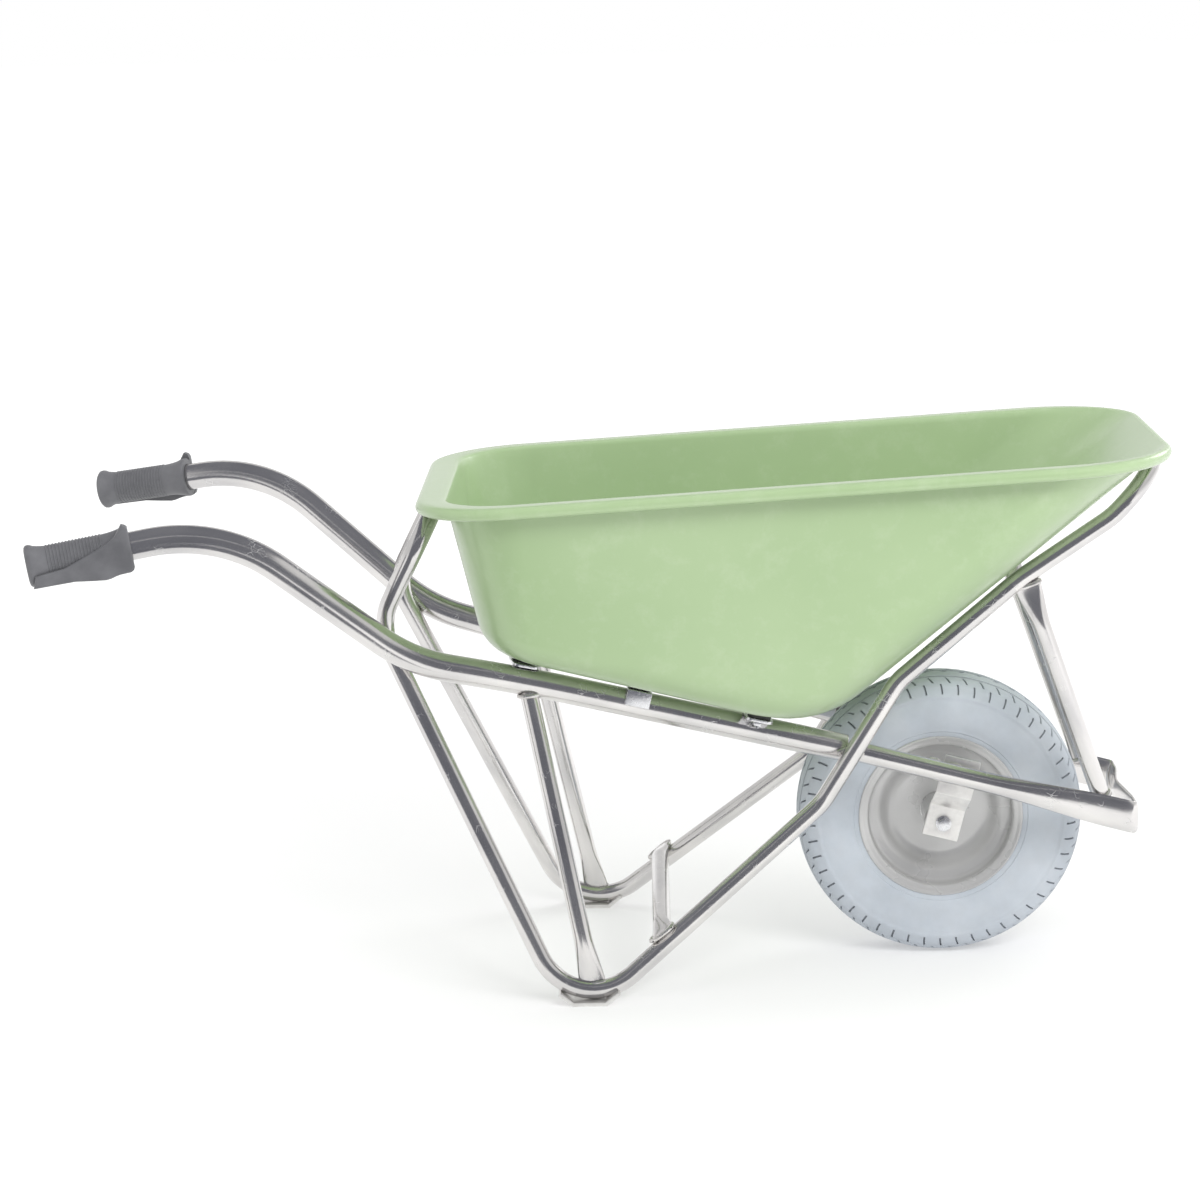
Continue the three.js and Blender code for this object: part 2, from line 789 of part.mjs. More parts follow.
// One pressed half of the rim; `s` is the side its flange is on.
function pressedRim(s) {
  const t = rimSheet;
  const bowl = beadR - fit;
  const profile = [
    [hubR + fit, fit / 2],
    [70, fit / 2],
    [80, 6],
    [88, 15],
    [bowl - 4, 19],
    [bowl, 24],
    [bowl, rimFlangeHalf - 3.6],
    [rimFlangeR - 4, rimFlangeHalf - 3.4],
    [rimFlangeR, rimFlangeHalf - 0.5],
    [rimFlangeR - 1.5, rimFlangeHalf + 1.5],
    [rimFlangeR - 6, rimFlangeHalf - 0.5],
    [bowl - t, rimFlangeHalf - 2],
    [bowl - t, 25],
    [bowl - 6, 21.5],
    [87, 18],
    [77, 9],
    [68, fit / 2 + t],
    [hubR + fit, fit / 2 + t],
    [hubR + fit, fit / 2],
  ];
  const points = profile.map(([r, y]) => [r, s * y]);
  return turned(s > 0 ? points : points.reverse(), 30);
}

function hub() {
  const bore = axleR + 2;
  const pocket = bearingR + fit;
  const deep = hubHalf - bearingWidth - fit;
  return turned(
    [
      [bore, -deep],
      [pocket, -deep],
      [pocket, -hubHalf],
      [hubR, -hubHalf],
      [hubR, hubHalf],
      [pocket, hubHalf],
      [pocket, deep],
      [bore, deep],
      [bore, -deep],
    ],
    24,
  );
}

function bearing(s) {
  const y0 = hubHalf - bearingWidth;
  const y1 = hubHalf;
  const inner = axleR + fit;
  const profile = [
    [inner, y0],
    [bearingR, y0],
    [bearingR, y1],
    [bearingR - 2.6, y1],
    [bearingR - 2.9, y1 - 0.8],
    [inner + 3, y1 - 0.8],
    [inner + 2.7, y1],
    [inner, y1],
    [inner, y0],
  ];
  const points = profile.map(([r, y]) => [r, s * y]);
  return turned(s > 0 ? points : points.reverse(), 20);
}

const axleHalf = hangerFootW - fit;

function axle() {
  const hole = axleBoltR + fit;
  const deep = axleHalf - 22;
  return turned(
    [
      [0, -deep],
      [hole, -deep],
      [hole, -axleHalf],
      [axleR, -axleHalf],
      [axleR, axleHalf],
      [hole, axleHalf],
      [hole, deep],
      [0, deep],
    ],
    20,
  );
}

function spacer(s) {
  const y0 = hubHalf + fit;
  const shape = collar(axleR + fit, axleR + 4, y0, axleHalf, 20);
  return s > 0 ? shape : shape.rotateX(Math.PI);
}

function axleWasher(s) {
  const y0 = hangerFootW + hangerSheet + fit;
  const shape = collar(axleBoltR + fit, 11, y0, y0 + 2, 20);
  return s > 0 ? shape : shape.rotateX(Math.PI);
}

function axleBolt(s) {
  const face = hangerFootW + hangerSheet + 2 * fit + 2;
  const head = new THREE.CylinderGeometry(9.6, 9.6, 7, 6).translate(0, face + 3.5, 0);
  const shank = rod(axleBoltR, axleHalf - 20, face + 1);
  const shape = join(head, shank);
  return s > 0 ? shape : shape.rotateX(Math.PI);
}

// ---------------------------------------------------------------- assembly
const barrow = new THREE.Group();
barrow.name = "wheelbarrow";
const frame = new THREE.Group();
frame.name = "frame";
const body = new THREE.Group();
body.name = "tray_group";
const wheelMount = new THREE.Group();
wheelMount.name = "wheel_mount";
const wheel = new THREE.Group();
wheel.name = "wheel";
wheelMount.position.z = tyreR;
wheel.position.z = tyreR;
barrow.add(frame, body, wheelMount, wheel);

for (const { tag, s } of sides) {
  node(frame, `handle_rail_${tag}`, bar(railLine(s), railR, 14), steel, 1, 0.3);
  node(frame, `leg_tube_${tag}`, bar(legLine(s), tubeR), steel, 1, 0.3);
  node(frame, `leg_brace_${tag}`, brace(s), steel, 1, 0.3);
  node(frame, `front_strut_${tag}`, strut(s), steel, 1, 0.3);
  node(frame, `foot_skid_${tag}`, skid(s), steel, 1, 0.4);
  node(frame, `axle_hanger_${tag}`, hanger(s), zinc, 1, 0.45);
  node(frame, `grip_${tag}`, grip(s), gripGrey, 0, 0.65);
}
node(frame, "rear_hoop", bar(rearHoop(), tubeR), steel, 1, 0.3);
node(frame, "front_hoop", bar(frontHoopLine(), tubeR), steel, 1, 0.3);
node(frame, "nose_tube", noseTube(), steel, 1, 0.3);
node(frame, "leg_cross_tube", crossTube(), steel, 1, 0.3);

node(body, "tray", tray(), leaf, 0, 0.45);
for (const { tag, s } of sides) {
  for (const fixing of fixings) {
    const seatShape = fixing.reach ? tab(fixing, s) : saddle(fixing, s);
    const kind = fixing.reach ? "tray_tab" : "tray_saddle";
    node(body, `${kind}_${fixing.name}_${tag}`, seatShape, zinc, 1, 0.45);
    node(body, `tray_pad_${fixing.name}_${tag}`, pad(fixing, s), darkRubber, 0, 0.8);
  }
}
for (const bolt of boltAxes()) {
  node(body, `tray_bolt_${bolt.name}_${bolt.tag}`, trayBolt(bolt), zinc, 1, 0.35);
  node(body, `tray_nut_${bolt.name}_${bolt.tag}`, nut(bolt), zinc, 1, 0.35);
}

node(wheelMount, "axle", axle(), zinc, 1, 0.4);
for (const { tag, s } of sides) {
  node(wheelMount, `axle_spacer_${tag}`, spacer(s), zinc, 1, 0.4);
  node(wheelMount, `axle_washer_${tag}`, axleWasher(s), zinc, 1, 0.35);
  node(wheelMount, `axle_bolt_${tag}`, axleBolt(s), zinc, 1, 0.35);
  node(wheel, `rim_half_${tag}`, pressedRim(s), rimGrey, 0.6, 0.4);
  node(wheel, `wheel_bearing_${tag}`, bearing(s), steel, 1, 0.25);
}
node(wheel, "hub", hub(), rimGrey, 0.8, 0.4);
node(wheel, "tyre", tyre(), greyRubber, 0, 0.85);

// The part's origin is the middle of its footprint on the ground.
const box = new THREE.Box3().setFromObject(barrow);
barrow.position.set(-(box.min.x + box.max.x) / 2, 0, -box.min.z);

export default barrow;
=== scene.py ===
import json
import math

import bmesh
import bpy
from mathutils import Matrix, Vector, noise


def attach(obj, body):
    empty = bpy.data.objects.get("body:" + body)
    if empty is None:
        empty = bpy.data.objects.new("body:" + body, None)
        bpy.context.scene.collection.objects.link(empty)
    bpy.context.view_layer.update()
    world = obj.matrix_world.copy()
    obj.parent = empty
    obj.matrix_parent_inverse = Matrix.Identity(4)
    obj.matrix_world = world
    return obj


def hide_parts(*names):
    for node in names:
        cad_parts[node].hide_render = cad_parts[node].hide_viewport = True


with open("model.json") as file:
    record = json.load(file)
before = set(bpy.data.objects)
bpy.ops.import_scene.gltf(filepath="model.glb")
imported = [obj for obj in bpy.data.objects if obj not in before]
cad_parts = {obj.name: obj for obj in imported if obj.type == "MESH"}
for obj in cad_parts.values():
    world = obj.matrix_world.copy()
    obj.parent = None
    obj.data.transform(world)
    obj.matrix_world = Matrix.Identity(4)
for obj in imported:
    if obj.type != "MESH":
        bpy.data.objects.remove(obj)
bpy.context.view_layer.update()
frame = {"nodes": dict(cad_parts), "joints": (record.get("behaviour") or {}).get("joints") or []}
axle = Vector(frame["joints"][0]["pos_m"])
sides = (("right", -1), ("left", 1))


# A place given in millimetres: along from the axle, across from the middle, up from the ground.
def at(x, y, z):
    return Vector((x / 1000 + axle.x, y / 1000, z / 1000))


viewpoint = {
    "place": (-400.9, -4571.5, 1406.9),
    "yaw": 0.0153, "down": 0.1937, "roll": 0.0235,
    "lens": 100.03, "sensor": 36, "farthest": 100,
}


def addCamera():
    data = bpy.data.cameras.new("studioCamera")
    data.lens = viewpoint["lens"]
    data.sensor_width = viewpoint["sensor"]
    data.clip_end = viewpoint["farthest"]
    camera = bpy.data.objects.new("studioCamera", data)
    turn = Matrix.Rotation(viewpoint["yaw"], 4, "Z")
    turn = turn @ Matrix.Rotation(-viewpoint["down"], 4, "X")
    turn = turn @ Matrix.Rotation(viewpoint["roll"], 4, "Y")
    lookLevel = Matrix.Rotation(math.pi / 2, 4, "X")
    camera.matrix_world = Matrix.Translation(at(*viewpoint["place"])) @ turn @ lookLevel
    bpy.context.scene.collection.objects.link(camera)
    bpy.context.scene.camera = camera


addCamera()
print("camera placed")


# A shader socket that can be used in sums.
class Value:
    def __init__(self, tree, socket):
        self.tree = tree
        self.socket = socket

    def math(self, operation, first, second=None):
        node = self.tree.nodes.new("ShaderNodeMath")
        node.operation = operation
        for slot, item in zip(node.inputs, (first, second)):
            if isinstance(item, Value):
                self.tree.links.new(item.socket, slot)
            elif item is not None:
                slot.default_value = item
        return Value(self.tree, node.outputs[0])

    def __add__(self, other):
        return self.math("ADD", self, other)

    def __radd__(self, other):
        return self.math("ADD", other, self)

    def __sub__(self, other):
        return self.math("SUBTRACT", self, other)

    def __rsub__(self, other):
        return self.math("SUBTRACT", other, self)

    def __mul__(self, other):
        return self.math("MULTIPLY", self, other)

    def __rmul__(self, other):
        return self.math("MULTIPLY", other, self)


class Finish:
    def __init__(self, name, **settings):
        self.material = bpy.data.materials.new(name)
        self.material.use_nodes = True
        self.tree = self.material.node_tree
        self.surface = self.tree.nodes["Principled BSDF"]
        for socket, item in settings.items():
            self.surface.inputs[socket.replace("_", " ")].default_value = item

    def node(self, kind, settings=None, sockets=None, output=0):
        made = self.tree.nodes.new("ShaderNode" + kind)
        for key, item in (settings or {}).items():
            if key == "stops":
                self.setStops(made.color_ramp, item)
            else:
                setattr(made, key, item)
        for key, item in (sockets or {}).items():
            if isinstance(item, Value):
                self.tree.links.new(item.socket, made.inputs[key])
            else:
                made.inputs[key].default_value = item
        return Value(self.tree, made.outputs[output])

    def setStops(self, ramp, stops):
        while len(ramp.elements) < len(stops):
            ramp.elements.new(0.5)
        for element, (place, colour) in zip(ramp.elements, stops):
            element.position = place
            element.color = (*colour, 1) if isinstance(colour, tuple) else (colour, colour, colour, 1)

    def where(self):
        return self.node("TexCoord", output="Object")

    def along(self):
        return self.node("Attribute", {"attribute_name": "tubeSpace"}, output="Vector")

    def stretch(self, place, scale):
        return self.node("Mapping", None, {"Vector": place, "Scale": scale})

    def speckle(self, place, scale, detail=4.0, roughness=0.55):
        sockets = {"Vector": place, "Scale": scale, "Detail": detail, "Roughness": roughness}
        return self.node("TexNoise", None, sockets)

    def ramp(self, value, stops):
        return self.node("ValToRGB", {"stops": stops}, {"Fac": value})

    def mix(self, factor, first, second):
        return self.node("Mix", {"data_type": "RGBA"}, {0: factor, 6: first, 7: second}, 2)

    def feed(self, socket, value):
        self.tree.links.new(value.socket, self.surface.inputs[socket])

    def bump(self, height, strength, distance=0.001):
        sockets = {"Strength": strength, "Distance": distance, "Height": height}
        self.feed("Normal", self.node("Bump", None, sockets))


def grey(level):
    return (level, level, level, 1)


def polishedTube():
    f = Finish("polishedTube", Metallic=1.0)
    place = f.along()
    drawn = f.speckle(f.stretch(place, (520, 520, 9)), 1.0, 5.0)
    cloud = f.speckle(f.stretch(place, (24, 24, 7)), 1.0, 3.0)
    cells = {"Vector": f.stretch(place, (150, 150, 95)), "Scale": 1.0}
    scratches = f.node("TexVoronoi", {"feature": "DISTANCE_TO_EDGE"}, cells)
    nick = f.ramp(scratches, [(0.0, 1.0), (0.03, 0.0)])
    rare = f.ramp(f.speckle(place, 30.0, 2.0), [(0.6, 0.0), (0.66, 1.0)])
    mark = nick * rare
    tint = f.ramp(cloud, [
        (0.3, (0.61, 0.598, 0.60)),
        (0.52, (0.74, 0.722, 0.712)),
        (0.75, (0.85, 0.828, 0.81)),
    ])
    f.feed("Base Color", f.mix(mark, tint, grey(0.96)))
    f.feed("Roughness", 0.09 + drawn * 0.12 + cloud * 0.09 + mark * 0.5)
    f.bump(drawn * 0.35 + cloud * 0.5 - mark, 0.25, 0.0006)
    return f.material


def weldMetal():
    f = Finish("weldMetal", Metallic=1.0)
    place = f.where()
    grain = f.speckle(place, 420.0, 5.0)
    heat = f.speckle(place, 55.0, 3.0)
    tint = f.ramp(heat, [
        (0.3, (0.52, 0.50, 0.49)),
        (0.5, (0.74, 0.72, 0.70)),
        (0.68, (0.90, 0.88, 0.86)),
    ])
    f.feed("Base Color", tint)
    f.feed("Roughness", 0.22 + grain * 0.26)
    f.bump(grain + heat, 0.35, 0.0008)
    return f.material


def zincPlate():
    f = Finish("zincPlate", Metallic=0.85)
    place = f.where()
    bloom = f.speckle(place, 60.0, 6.0, 0.65)
    fine = f.speckle(place, 900.0, 3.0)
    tint = f.ramp(bloom, [
        (0.3, (0.74, 0.725, 0.71)),
        (0.55, (0.84, 0.825, 0.805)),
        (0.75, (0.90, 0.89, 0.875)),
    ])
    f.feed("Base Color", tint)
    f.feed("Roughness", 0.34 + bloom * 0.2)
    f.bump(fine * 0.5 + bloom, 0.18, 0.0005)
    return f.material


def brightZinc():
    f = Finish("brightZinc", Metallic=1.0)
    place = f.where()
    bloom = f.speckle(place, 160.0, 5.0)
    turned = f.speckle(f.stretch(place, (300, 300, 2600)), 1.0, 2.0)
    f.feed("Base Color", f.ramp(bloom, [(0.3, (0.68, 0.68, 0.70)), (0.7, (0.86, 0.86, 0.88))]))
    f.feed("Roughness", 0.16 + bloom * 0.2)
    f.bump(turned + bloom, 0.15, 0.0004)
    return f.material


def trayPaint():
    f = Finish("trayPaint", Coat_Roughness=0.24, Specular_IOR_Level=0.5)
    place = f.where()
    cloud = f.speckle(place, 2.4, 4.0)
    peel = f.speckle(place, 330.0, 2.0)
    dust = f.speckle(place, 30.0, 8.0, 0.7)
    tint = f.ramp(cloud, [
        (0.32, (0.335, 0.462, 0.245)),
        (0.52, (0.365, 0.492, 0.27)),
        (0.72, (0.395, 0.517, 0.305)),
    ])
    f.feed("Base Color", f.mix(f.ramp(dust, [(0.5, 0.0), (0.8, 0.22)]), tint, (0.60, 0.68, 0.52, 1)))
    f.feed("Roughness", 0.32 + dust * 0.14)
    f.feed("Coat Weight", 0.75 + cloud * 0.25)
    f.bump(peel * 0.6 + cloud * 0.4, 0.06, 0.0008)
    return f.material


def tyreRubber():
    f = Finish("tyreRubber", Specular_IOR_Level=0.35)
    place = f.where()
    bloom = f.speckle(place, 14.0, 6.0, 0.6)
    grain = f.speckle(place, 700.0, 3.0)
    scuff = f.speckle(f.stretch(place, (40, 160, 40)), 1.0, 5.0)
    tint = f.ramp(bloom, [
        (0.3, (0.435, 0.475, 0.525)),
        (0.52, (0.49, 0.53, 0.58)),
        (0.75, (0.54, 0.575, 0.62)),
    ])
    shade = f.ramp(scuff, [(0.35, 0.25), (0.6, 0.0)])
    # painted shade: the sunk groove cells and the ring grooves are coloured a darker grey
    grooveShadeMask = f.node("Attribute", {"attribute_name": "treadDepth"}, output="Fac")
    dirty = f.mix(shade * 0.6, tint, (0.40, 0.41, 0.42, 1))
    f.feed("Base Color", f.mix(grooveShadeMask, dirty, (0.335, 0.36, 0.39, 1)))
    f.feed("Roughness", 0.62 + bloom * 0.22)
    f.bump(grain * 0.7 + bloom * 0.5, 0.22, 0.0008)
    return f.material


def rimEnamel():
    f = Finish("rimEnamel", Coat_Roughness=0.09, Metallic=0.25)
    place = f.where()
    cloud = f.speckle(place, 9.0, 4.0)
    peel = f.speckle(place, 420.0, 2.0)
    f.feed("Base Color", f.ramp(cloud, [(0.3, (0.505, 0.502, 0.501)), (0.7, (0.54, 0.537, 0.535))]))
    f.feed("Roughness", 0.22 + cloud * 0.12)
    f.feed("Coat Weight", 0.8 + cloud * 0.12)
    f.bump(peel, 0.03, 0.0004)
    return f.material


def gripPlastic():
    f = Finish("gripPlastic", Specular_IOR_Level=0.4)
    place = f.where()
    grain = f.speckle(place, 1300.0, 3.0)
    cloud = f.speckle(place, 26.0, 5.0)
    f.feed("Base Color", f.ramp(cloud, [(0.3, (0.112, 0.113, 0.122)), (0.7, (0.165, 0.166, 0.177))]))
    f.feed("Roughness", 0.36 + cloud * 0.16)
    f.bump(grain, 0.2, 0.0005)
    return f.material


def padRubber():
    f = Finish("padRubber")
    place = f.where()
    grain = f.speckle(place, 800.0, 4.0)
    cloud = f.speckle(place, 90.0, 4.0)
    f.feed("Base Color", f.ramp(cloud, [(0.3, (0.030, 0.030, 0.032)), (0.7, (0.065, 0.064, 0.066))]))
    f.feed("Roughness", 0.65 + cloud * 0.2)
    f.bump(grain, 0.3, 0.0005)
    return f.material


finishes = {
    "polished_tube": polishedTube(),
    "weld": weldMetal(),
    "plate": zincPlate(),
    "zinc_fittings": brightZinc(),
    "tray_paint": trayPaint(),
    "tyre_rubber": tyreRubber(),
    "rim_finish": rimEnamel(),
    "pad_rubber": padRubber(),
    "grip_plastic": gripPlastic(),
}
print("finishes ready")


def placeMesh(name, bm):
    mesh = bpy.data.meshes.new(name)
    bm.to_mesh(mesh)
    bm.free()
    placed = bpy.data.objects.new(name, mesh)
    bpy.context.scene.collection.objects.link(placed)
    return placed


# The angle is the one above which an edge stays crisp.
def dressPiece(piece, finish, nodes, body, angle):
    piece.data.materials.append(finishes[finish])
    piece.data.shade_smooth()
    piece.data.set_sharp_from_angle(angle=math.radians(angle))
    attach(piece, body)
    if nodes:
        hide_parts(*nodes)
    return piece


def finishPiece(name, bm, finish, nodes=(), body="frame", angle=35):
    bmesh.ops.recalc_face_normals(bm, faces=bm.faces)
    if bm.calc_volume(signed=True) < 0:
        bmesh.ops.reverse_faces(bm, faces=bm.faces)
    return dressPiece(placeMesh(name, bm), finish, nodes, body, angle)


# Straight runs with an arc of the given radius at each corner.
def bent(corners, radii, arcStep=0.09):
    out = [corners[0].copy()]
    for before, corner, after, radius in zip(corners, corners[1:], corners[2:], radii):
        back = (before - corner).normalized()
        ahead = (after - corner).normalized()
        half = back.angle(ahead) / 2
        radius = radius / 1000
        centre = corner + (back + ahead).normalized() * (radius / math.sin(half))
        start = corner + back * (radius / math.tan(half)) - centre
        sweep = math.pi - 2 * half
        axis = start.cross(corner + ahead * (radius / math.tan(half)) - centre).normalized()
        steps = max(3, math.ceil(sweep / arcStep))
        for k in range(steps + 1):
            out.append(Matrix.Rotation(sweep * k / steps, 3, axis) @ start + centre)
    out.append(corners[-1].copy())
    return out


def tangents(line):
    found = []
    for i, point in enumerate(line):
        into = (point - line[max(0, i - 1)]).normalized()
        onward = (line[min(len(line) - 1, i + 1)] - point).normalized()
        found.append((into + onward).normalized())
    return found


# Sweeps a ring along a line. The size function gives its half width and half height
# at a point, and "up" is the way its height points.
def sweepRing(line, size, up=None, segments=32, closed=True):
    bm = bmesh.new()
    space = bm.verts.layers.float_vector.new("tubeSpace")
    heading = tangents(line)
    lift = up or heading[0].orthogonal()
    run = 0
    before = None
    ring = []
    for i, point in enumerate(line):
        if i:
            run += (point - line[i - 1]).length
            if up is None:
                lift = heading[i - 1].rotation_difference(heading[i]) @ lift
        across = heading[i].cross(lift).normalized()
        level = across.cross(heading[i])
        wide, high = size(i, run)
        place = Matrix((across * wide, level * high, heading[i] * 10)).transposed().to_4x4()
        place.translation = point
        if before is None:
            first = bmesh.ops.create_circle(bm, segments=segments, radius=1, cap_ends=closed, matrix=place)
            ring = first["verts"]
        else:
            edges = {e for v in ring for e in v.link_edges if e.other_vert(v) in ring}
            made = bmesh.ops.extrude_edge_only(bm, edges=list(edges))["geom"]
            ring = [g for g in made if isinstance(g, bmesh.types.BMVert)]
            bmesh.ops.transform(bm, matrix=place @ before.inverted(), verts=ring)
        for v in ring:
            local = place.inverted() @ v.co
            v[space] = (local.x * wide, local.y * high, run)
        before = place
    if closed:
        ends = {e for v in ring for e in v.link_edges if e.other_vert(v) in ring and e.is_boundary}
        bmesh.ops.contextual_create(bm, geom=list(ends))
    return bm


def softenEnds(bm, amount=0.0012, segments=3):
    rims = list({e for f in bm.faces if len(f.verts) > 4 for e in f.edges})
    bmesh.ops.bevel(bm, geom=rims, affect="EDGES", offset=amount, segments=segments, profile=0.5, material=-1)


def roundTube(name, line, radius, nodes, soften=True):
    bm = sweepRing(line, lambda i, run: (radius, radius))
    if soften:
        softenEnds(bm)
    return finishPiece(name, bm, "polished_tube", nodes)


def mirrored(point, s):
    return at(point[0], s * point[1], point[2])


# corners are in millimetres, as at() reads them; a tube's radius is in metres
rail = {
    "radius": 0.019,
    "corners": [(-1205, 313, 632), (-963, 268, 669), (-724, 190, 468), (-560, 150, 427), (-137, 117, 319)],
    "bends": [215, 240, 900],
}


def railLine(s):
    return bent([mirrored(p, s) for p in rail["corners"]], rail["bends"], 0.05)


for tag, s in sides:
    roundTube("handleRail_" + tag, railLine(s), rail["radius"], ["handle_rail_" + tag])
print("rails made")

# the leg tubes and the two hoops
loop = {
    "radius": 0.0125,
    "leg": [
        (-741, 167.3, 568), (-768, 156.8, 512), (-515, 248, -29.4),
        (-172, 147.3, 249), (-67, 147.3, 418), (88.1, 149.8, 548.7),
    ],
    "legBends": [75, 80, 70, 75],
    "rearTop": (-691, 187, 665.5),
    "frontTop": (98, 150, 557),
    "frontSag": (222, 149, 639),
    "frontHoop": (283, 148, 703),
    "rearBends": [58, 58],
    "frontBends": [160, 110, 70, 70, 110, 160],
}


def legLine(s):
    return bent([mirrored(p, s) for p in loop["leg"]], loop["legBends"])


def rearHoopLine():
    right = [mirrored(loop["leg"][0], -1), mirrored(loop["rearTop"], -1)]
    left = [mirrored(loop["rearTop"], 1), mirrored(loop["leg"][0], 1)]
    return bent(right + left, loop["rearBends"])


def frontHoopLine():
    half = [loop["leg"][-1], loop["frontTop"], loop["frontSag"], loop["frontHoop"]]
    right = [mirrored(p, -1) for p in half]
    left = [mirrored(p, 1) for p in reversed(half)]
    return bent(right + left, loop["frontBends"])


for tag, s in sides:
    roundTube("legTube_" + tag, legLine(s), loop["radius"], ["leg_tube_" + tag], soften=False)
roundTube("rearHoop", rearHoopLine(), loop["radius"], ["rear_hoop"], soften=False)
roundTube("frontHoop", frontHoopLine(), loop["radius"], ["front_hoop"], soften=False)
print("legs and hoops made")

# the nose tube is pressed flat across the front
nose = {
    "radius": 0.014, "half": 0.005,
    "start": (-133, 120, 317.9), "flat": (172, 120, 236.5), "turn": (262, 120, 212.5), "bow": (251, 0, 215.4),
    "bends": [9, 60, 120, 60, 9], "arcStep": 0.12, "bowReach": 0.16, "step": 0.012,
    "taper": 0.190, "taperEnd": 0.012,
    "middle": 318.0, "slope": -0.267,
    "hollow": 0.0014, "hollowWidth": 1.25, "hollowGap": 0.001,
}


def noseLine():
    def side(s):
        start, turn = mirrored(nose["start"], s), mirrored(nose["turn"], s)
        return [start, turn, turn.lerp(mirrored(nose["turn"], -s), nose["bowReach"])]

    corners = side(-1) + [at(*nose["bow"])] + side(1)[::-1]
    return bent(corners, nose["bends"], nose["arcStep"])


def smooth(value):
    t = min(1, max(0, value))
    return t * t * (3 - 2 * t)


def refine(line, step):
    out = [line[0]]
    for a, b in zip(line, line[1:]):
        count = max(1, round((b - a).length / step))
        out += [a.lerp(b, k / count) for k in range(1, count + 1)]
    return out


def noseTube():
    line = refine(noseLine(), nose["step"])
    turnX = at(*nose["bow"]).x - nose["taperEnd"]
    radius = nose["radius"]

    def size(i, run):
        t = smooth((turnX - line[i].x) / nose["taper"])
        return nose["half"] * (1 - t) + radius * t, radius * (math.pi / 2 * (1 - t) + t)

    bm = sweepRing(line, size, Vector((0, 0, 1)))
    bmesh.ops.recalc_face_normals(bm, faces=bm.faces)
    # the pressed strip is a little hollow along its middle
    front = [v for v in bm.verts if v.co.x > turnX + nose["hollowGap"]]
    for v in front:
        middle = noseHeight(v.co.x)
        share = max(0, 1 - abs(v.co.z - middle) / (radius * nose["hollowWidth"]))
        v.co.x -= nose["hollow"] * smooth(share)
    softenEnds(bm)
    finishPiece("noseTube", bm, "polished_tube", ["nose_tube"])


def noseHeight(x):
    return (nose["middle"] + nose["slope"] * ((x - axle.x) * 1000 - nose["start"][0])) / 1000


noseTube()
print("nose made")

# tubes with their ends squeezed flat
spoon = {"radius": 0.0125, "edge": 0.0181, "thin": 0.0027, "steps": 12, "endRound": 0.0014}


def spoonTube(name, a, b, flatSide, starts, stops, nodes):
    total = (b - a).length
    steps = spoon["steps"]
    starting = {starts * k / steps for k in range(steps + 1)}
    stopping = {total - stops * k / steps for k in range(steps + 1)}
    marks = sorted({0, total} | starting | stopping)
    line = [a.lerp(b, m / total) for m in marks]

    def size(i, run):
        t = 0
        if starts:
            t = max(t, smooth(1 - run / starts))
        if stops:
            t = max(t, smooth(1 - (total - run) / stops))
        radius = spoon["radius"]
        return spoon["edge"] * t + radius * (1 - t), spoon["thin"] * t + radius * (1 - t)

    along = (b - a).normalized()
    lift = flatSide.cross(along).normalized()
    bm = sweepRing(line, size, lift)
    softenEnds(bm, spoon["endRound"])
    return finishPiece(name, bm, "polished_tube", nodes)


# "side" is what the flat faces, "flat" how long it is, and "clear" the share of the tube left off at its top
braceEnds = {
    "top": (-571, 155, 429.7), "foot": (-487.6, 235, 18.3), "clear": 0.035,
    "side": (41.2, -3.7, -4.4), "flat": 0.08,
}
strutEnds = {
    "top": (104, 149.9, 560.9), "foot": (215, 104, 241.0), "clear": 0.03,
    "side": (1, 0, 0.3), "flat": 0.07,
}
crossTube = {"end": (-393.9, 223.5, 89.7), "side": (0.79, 0, 0.61), "flat": 0.062}

for tag, s in sides:
    side = Vector((braceEnds["side"][0], s * braceEnds["side"][1], braceEnds["side"][2]))
    top = mirrored(braceEnds["top"], s)
    foot = mirrored(braceEnds["foot"], s)
    start = top.lerp(foot, braceEnds["clear"])
    spoonTube("legBrace_" + tag, start, foot, side, 0, braceEnds["flat"], ["leg_brace_" + tag])
    top = mirrored(strutEnds["top"], s)
    foot = mirrored(strutEnds["foot"], s)
    start = top.lerp(foot, strutEnds["clear"])
    side = Vector(strutEnds["side"])
    spoonTube("frontStrut_" + tag, start, foot, side, strutEnds["flat"], 0, ["front_strut_" + tag])
crossStart, crossStop = mirrored(crossTube["end"], -1), mirrored(crossTube["end"], 1)
flat = crossTube["flat"]
spoonTube("legCrossTube", crossStart, crossStop, Vector(crossTube["side"]), flat, flat, ["leg_cross_tube"])
print("braces and struts made")


mergeGap = 0.00002  # points closer than this are one
flatAngle = 2
crispAngle = 28


# A plate or fastening from its solid, with the edges eased.
def easedCopy(name, node, finish, amount, segments):
    bm = bmesh.new()
    bm.from_mesh(frame["nodes"][node].data)
    bmesh.ops.remove_doubles(bm, verts=bm.verts, dist=mergeGap)
    bmesh.ops.dissolve_limit(bm, angle_limit=math.radians(flatAngle), verts=bm.verts, edges=bm.edges)
    crisp = [e for e in bm.edges if e.is_manifold and e.calc_face_angle() > math.radians(crispAngle)]
    bmesh.ops.bevel(
        bm, geom=crisp, affect="EDGES", offset=amount, segments=segments, profile=0.5, material=-1,
        clamp_overlap=True,
    )
    return finishPiece(name, bm, finish, [node])


def pieceName(node):
    words = node.split("_")
    tag = words.pop() if words[-1] in ("right", "left") else ""
    return words[0] + "".join(w.capitalize() for w in words[1:]) + ("_" + tag if tag else "")


